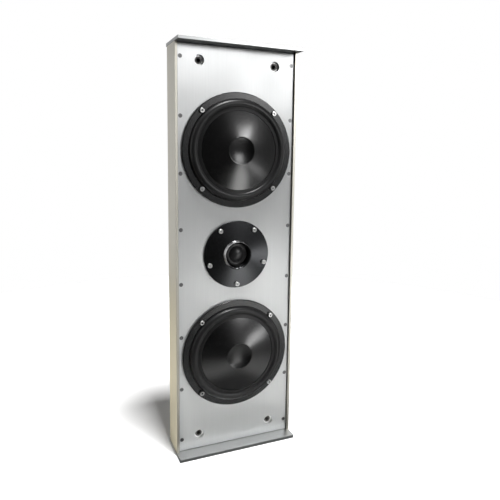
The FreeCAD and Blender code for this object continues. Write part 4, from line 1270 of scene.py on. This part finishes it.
def sector(graph: Graph, vector: Socket, middle: float, core: float, edge: float) -> Socket:
    """Mask the directions near one compass bearing.

    Args:
        graph: The graph to work in.
        vector: The direction or place looked at.
        middle: Bearing in the mask's middle, in degrees to the right of the front.
        core: Half width, in degrees, that is full.
        edge: Half width at which the mask ends.

    Returns:
        The mask's output.
    """
    axes = graph.add("SeparateXYZ", {"Vector": vector}).outputs
    bearing = graph.maths("ARCTAN2", axes["X"], graph.maths("MULTIPLY", axes["Y"], -1.0))
    aside = graph.maths("ABSOLUTE", graph.maths("SUBTRACT", bearing, math.radians(middle)))
    return graph.rise(aside, math.radians(edge), math.radians(core), "SMOOTHSTEP")


@dataclass(frozen=True)
class PaleFloor(Finish):
    """Pale paper floor, with zones of painted light and shade that show in reflections and in bounced light.

    A sector is given as its middle, full half width and outer half width, in degrees to the right of the
    front, and a zone as the distances from the speaker, in metres, between which it changes.

    Args:
        foot: Where the dim foot zone ends.
        ring: Where the lit ring round the foot ends.
        reach: Where the sunny patch begins.
        side: Sector of the lighter side.
        side_share: Share of the lighter side's colour that shows.
        patch: Sector of the sunny patch.
        behind: Sector behind the speaker.
        foot_colour: Colour of the foot zone.
        ring_colour: Colour of the ring.
        far_colour: Colour beyond the ring.
        side_colour: Colour of the lighter side.
        patch_colour: Colour of the sunny patch.
        behind_colour: Colour behind the speaker.
        bounce: Colour of the foot zone for bounced light.
    """

    foot: Point = (0.14, 0.20)
    ring: Point = (0.20, 0.44)
    reach: Point = (0.20, 0.65)
    side: Place = (34.0, 16.0, 32.0)
    side_share: float = 0.4
    patch: Place = (23.0, 5.0, 11.0)
    behind: Place = (-150.0, 50.0, 75.0)
    foot_colour: Colour = (0.12, 0.12, 0.12)
    ring_colour: Colour = (0.66, 0.66, 0.65)
    far_colour: Colour = (0.03, 0.03, 0.03)
    side_colour: Colour = (0.5, 0.5, 0.5)
    patch_colour: Colour = (3.0, 3.0, 2.95)
    behind_colour: Colour = (0.92, 0.86, 0.70)
    bounce: Colour = (6.6, 6.6, 6.4)

    def tint(self, graph: Graph, mask: Socket) -> Socket:
        """Return the pale colour for the camera and the zones' painted light and shade for all other rays.
        """
        place = graph.place()
        away = graph.length(place)
        foot, ring, reach = (graph.rise(away, *zone) for zone in (self.foot, self.ring, self.reach))
        side = graph.maths("MULTIPLY", sector(graph, place, *self.side), self.side_share)
        # Zone colours are painted light and shade; the patch and bounce colours above 1 are painted light.
        patch = graph.maths("MULTIPLY", sector(graph, place, *self.patch), reach)
        near = graph.between(foot, self.foot_colour, self.ring_colour)
        dim = graph.between(ring, near, graph.between(side, self.far_colour, self.side_colour))
        front = graph.between(patch, dim, self.patch_colour)
        mirrored = graph.between(sector(graph, place, *self.behind), front, self.behind_colour)
        rays = graph.add("LightPath").outputs
        bounced = graph.between(foot, self.bounce, mirrored)
        unseen = graph.between(rays["Is Diffuse Ray"], mirrored, bounced)
        return graph.between(rays["Is Camera Ray"], unseen, graph.between(reach, self.dark, self.light))


FLOOR = PaleFloor(
    "pale_floor", dark=(1.2, 1.2, 1.2), light=(2.4, 2.4, 2.4), gloss=(0.7, 0.8), scale=120.0, specular=0.0)


@dataclass(frozen=True)
class SkyZone:
    """One part of the surroundings.

    Args:
        sector: Middle, full half width and outer half width, in degrees to the right of the front.
        greys: Heights of a direction, from -1 to 1, with their grey levels, from low to high.
    """

    sector: Place
    greys: tuple[Point, ...]


@dataclass
class Studio:
    """Pale floor, soft lamps, even surroundings and the camera."""

    floor_radius: float = 1.15
    floor_drop: float = 0.0002
    camera_place: Place = (-0.27495, -0.75940, 0.46914)
    camera_aim: Place = (0.40924, 0.90159, -0.14024)
    camera_roll: float = 1.1414
    lens: float = 37.81
    sensor: float = 36.0
    sight: Point = (0.05, 20.0)
    shift: Point = (-0.04966, -0.04916)
    lamps: tuple[Softbox, ...] = (
        Softbox("ceiling_lamp", (0.01, -0.45, 2.25), (0.0, 0.0, 0.0), (0.26, 0.26), 50.0),
        Softbox("window", (1.04, -2.10, 1.10), (0.0, 0.0, 0.45), (0.66, 0.75), 15.0),
        Softbox("low_panel", (0.67, -0.84, 0.07), (0.0, 0.0, 0.13), (0.34, 0.18), 0.05, True, 40.0),
        Softbox("left_panel", (-1.3, 0.1, 0.6), (0.0, 0.0, 0.35), (0.4, 1.0), 3.0, True),
        Softbox("arch_panel", (-0.75, 0.12, 1.3), (0.0, 0.0, 0.31), (0.35, 1.0), 2.6, True),
        Softbox("top_panel", (0.4, 0.35, 1.6), (0.0, 0.0, 0.31), (0.5, 0.5), 0.8, True),
        Softbox("back_panel", (0.85, 1.8, 0.95), (0.0, 0.0, 0.35), (1.5, 1.6), 9.0, True),
        Softbox("sky_panel", (0.1, 1.1, 2.0), (0.0, 0.0, 0.6), (1.6, 1.4), 5.0, True),
    )
    room: tuple[Point, ...] = ((-1.0, 0.10), (0.0, 0.09), (1.0, 0.09))
    zones: tuple[SkyZone, ...] = (
        SkyZone((-8.0, 8.0, 26.0), ((-1.0, 0.02), (1.0, 0.02))),
        SkyZone((29.0, 11.0, 23.0), ((-0.3, 0.56), (-0.12, 0.52), (-0.03, 0.20), (0.25, 0.42), (0.5, 0.36))),
        SkyZone((96.0, 22.0, 42.0), ((-0.1, 1.4), (0.15, 1.4), (0.35, 0.10))),
        SkyZone((-166.0, 16.0, 45.0), ((-0.3, 0.74), (0.15, 0.70), (0.32, 0.10))),
    )

    def build(self) -> None:
        """Lay the floor, hang the lamps and set the camera."""
        self.lay_floor()
        self.light_surroundings()
        for lamp in self.lamps:
            lamp.hang()
        self.set_camera()

    def lay_floor(self) -> None:
        """Lay a round pale floor just under the bottom plate."""
        bm = bmesh.new()
        bmesh.ops.create_circle(bm, cap_ends=True, segments=128, radius=self.floor_radius,
                                matrix=Matrix.Translation((0.0, 0.0, -self.floor_drop)))
        mesh = bpy.data.meshes.new("floor")
        bm.to_mesh(mesh)
        bm.free()
        mesh.materials.append(FLOOR.make())
        floor = add_object("floor", mesh)

    def light_surroundings(self) -> None:
        """Surround the speaker with a dim room that has bright sectors and is white to the camera."""
        world = bpy.data.worlds.new("surroundings")
        bpy.context.scene.world = world
        world.use_nodes = True
        graph = Graph(world.node_tree)
        direction = graph.add("TexCoord").outputs["Generated"]
        height = graph.part(direction, "Z")
        around = self.levels(graph, height, self.room)
        for zone in self.zones:
            mask = sector(graph, direction, *zone.sector)
            around = graph.between(mask, around, self.levels(graph, height, zone.greys))
        seen = graph.add("LightPath").outputs["Is Camera Ray"]
        backdrop = world.node_tree.nodes["Background"].inputs
        graph.feed(backdrop["Color"], graph.between(seen, around, (1.0, 1.0, 1.0)))
        backdrop["Strength"].default_value = 1.0

    def levels(self, graph: Graph, height: Socket, stops: Sequence[Point]) -> Socket:
        """Return a grey that follows the height of a direction.

        Args:
            graph: The surroundings' graph.
            height: The direction's height from -1 to 1.
            stops: Heights with their grey levels, from low to high.

        Returns:
            The colour's output.
        """
        ramp = graph.add("ValToRGB", {"Fac": graph.maths("MULTIPLY_ADD", height, 0.5, 0.5)})
        marks = ramp.color_ramp.elements
        while len(marks) < len(stops):
            marks.new(0.5)
        for mark, (level, grey) in zip(marks, stops):
            mark.position, mark.color = level * 0.5 + 0.5, (grey, grey, grey, 1.0)
        return ramp.outputs["Color"]

    def set_camera(self) -> None:
        """Set the camera at the photograph's viewpoint."""
        data = bpy.data.cameras.new("camera")
        data.lens = self.lens
        data.sensor_width = self.sensor
        data.shift_x, data.shift_y = self.shift
        data.clip_start, data.clip_end = self.sight
        camera = add_object("camera", data)
        camera.location = self.camera_place
        camera.rotation_mode = "QUATERNION"
        level = Vector(self.camera_aim).to_track_quat("-Z", "Y")
        camera.rotation_quaternion = level @ Quaternion((0.0, 0.0, 1.0), math.radians(self.camera_roll))
        bpy.context.scene.camera = camera
        bpy.context.scene.view_settings.view_transform = "Standard"


def main() -> None:
    """Build and dress the speaker, then set the studio."""
    cabinet = Cabinet()
    cabinet.dress()
    cabinet.build_seals()
    Woofer("upper_woofer", height=468.5, body=Body.UPPER_CONE).build()
    Woofer("lower_woofer", height=153.5, body=Body.LOWER_CONE).build()
    Tweeter().build()
    TerminalBay().build()
    Crossover().build()
    Filling().build()
    Studio().build()


if __name__ == "__main__":
    logging.basicConfig(level=logging.INFO, format="%(message)s")
    main()
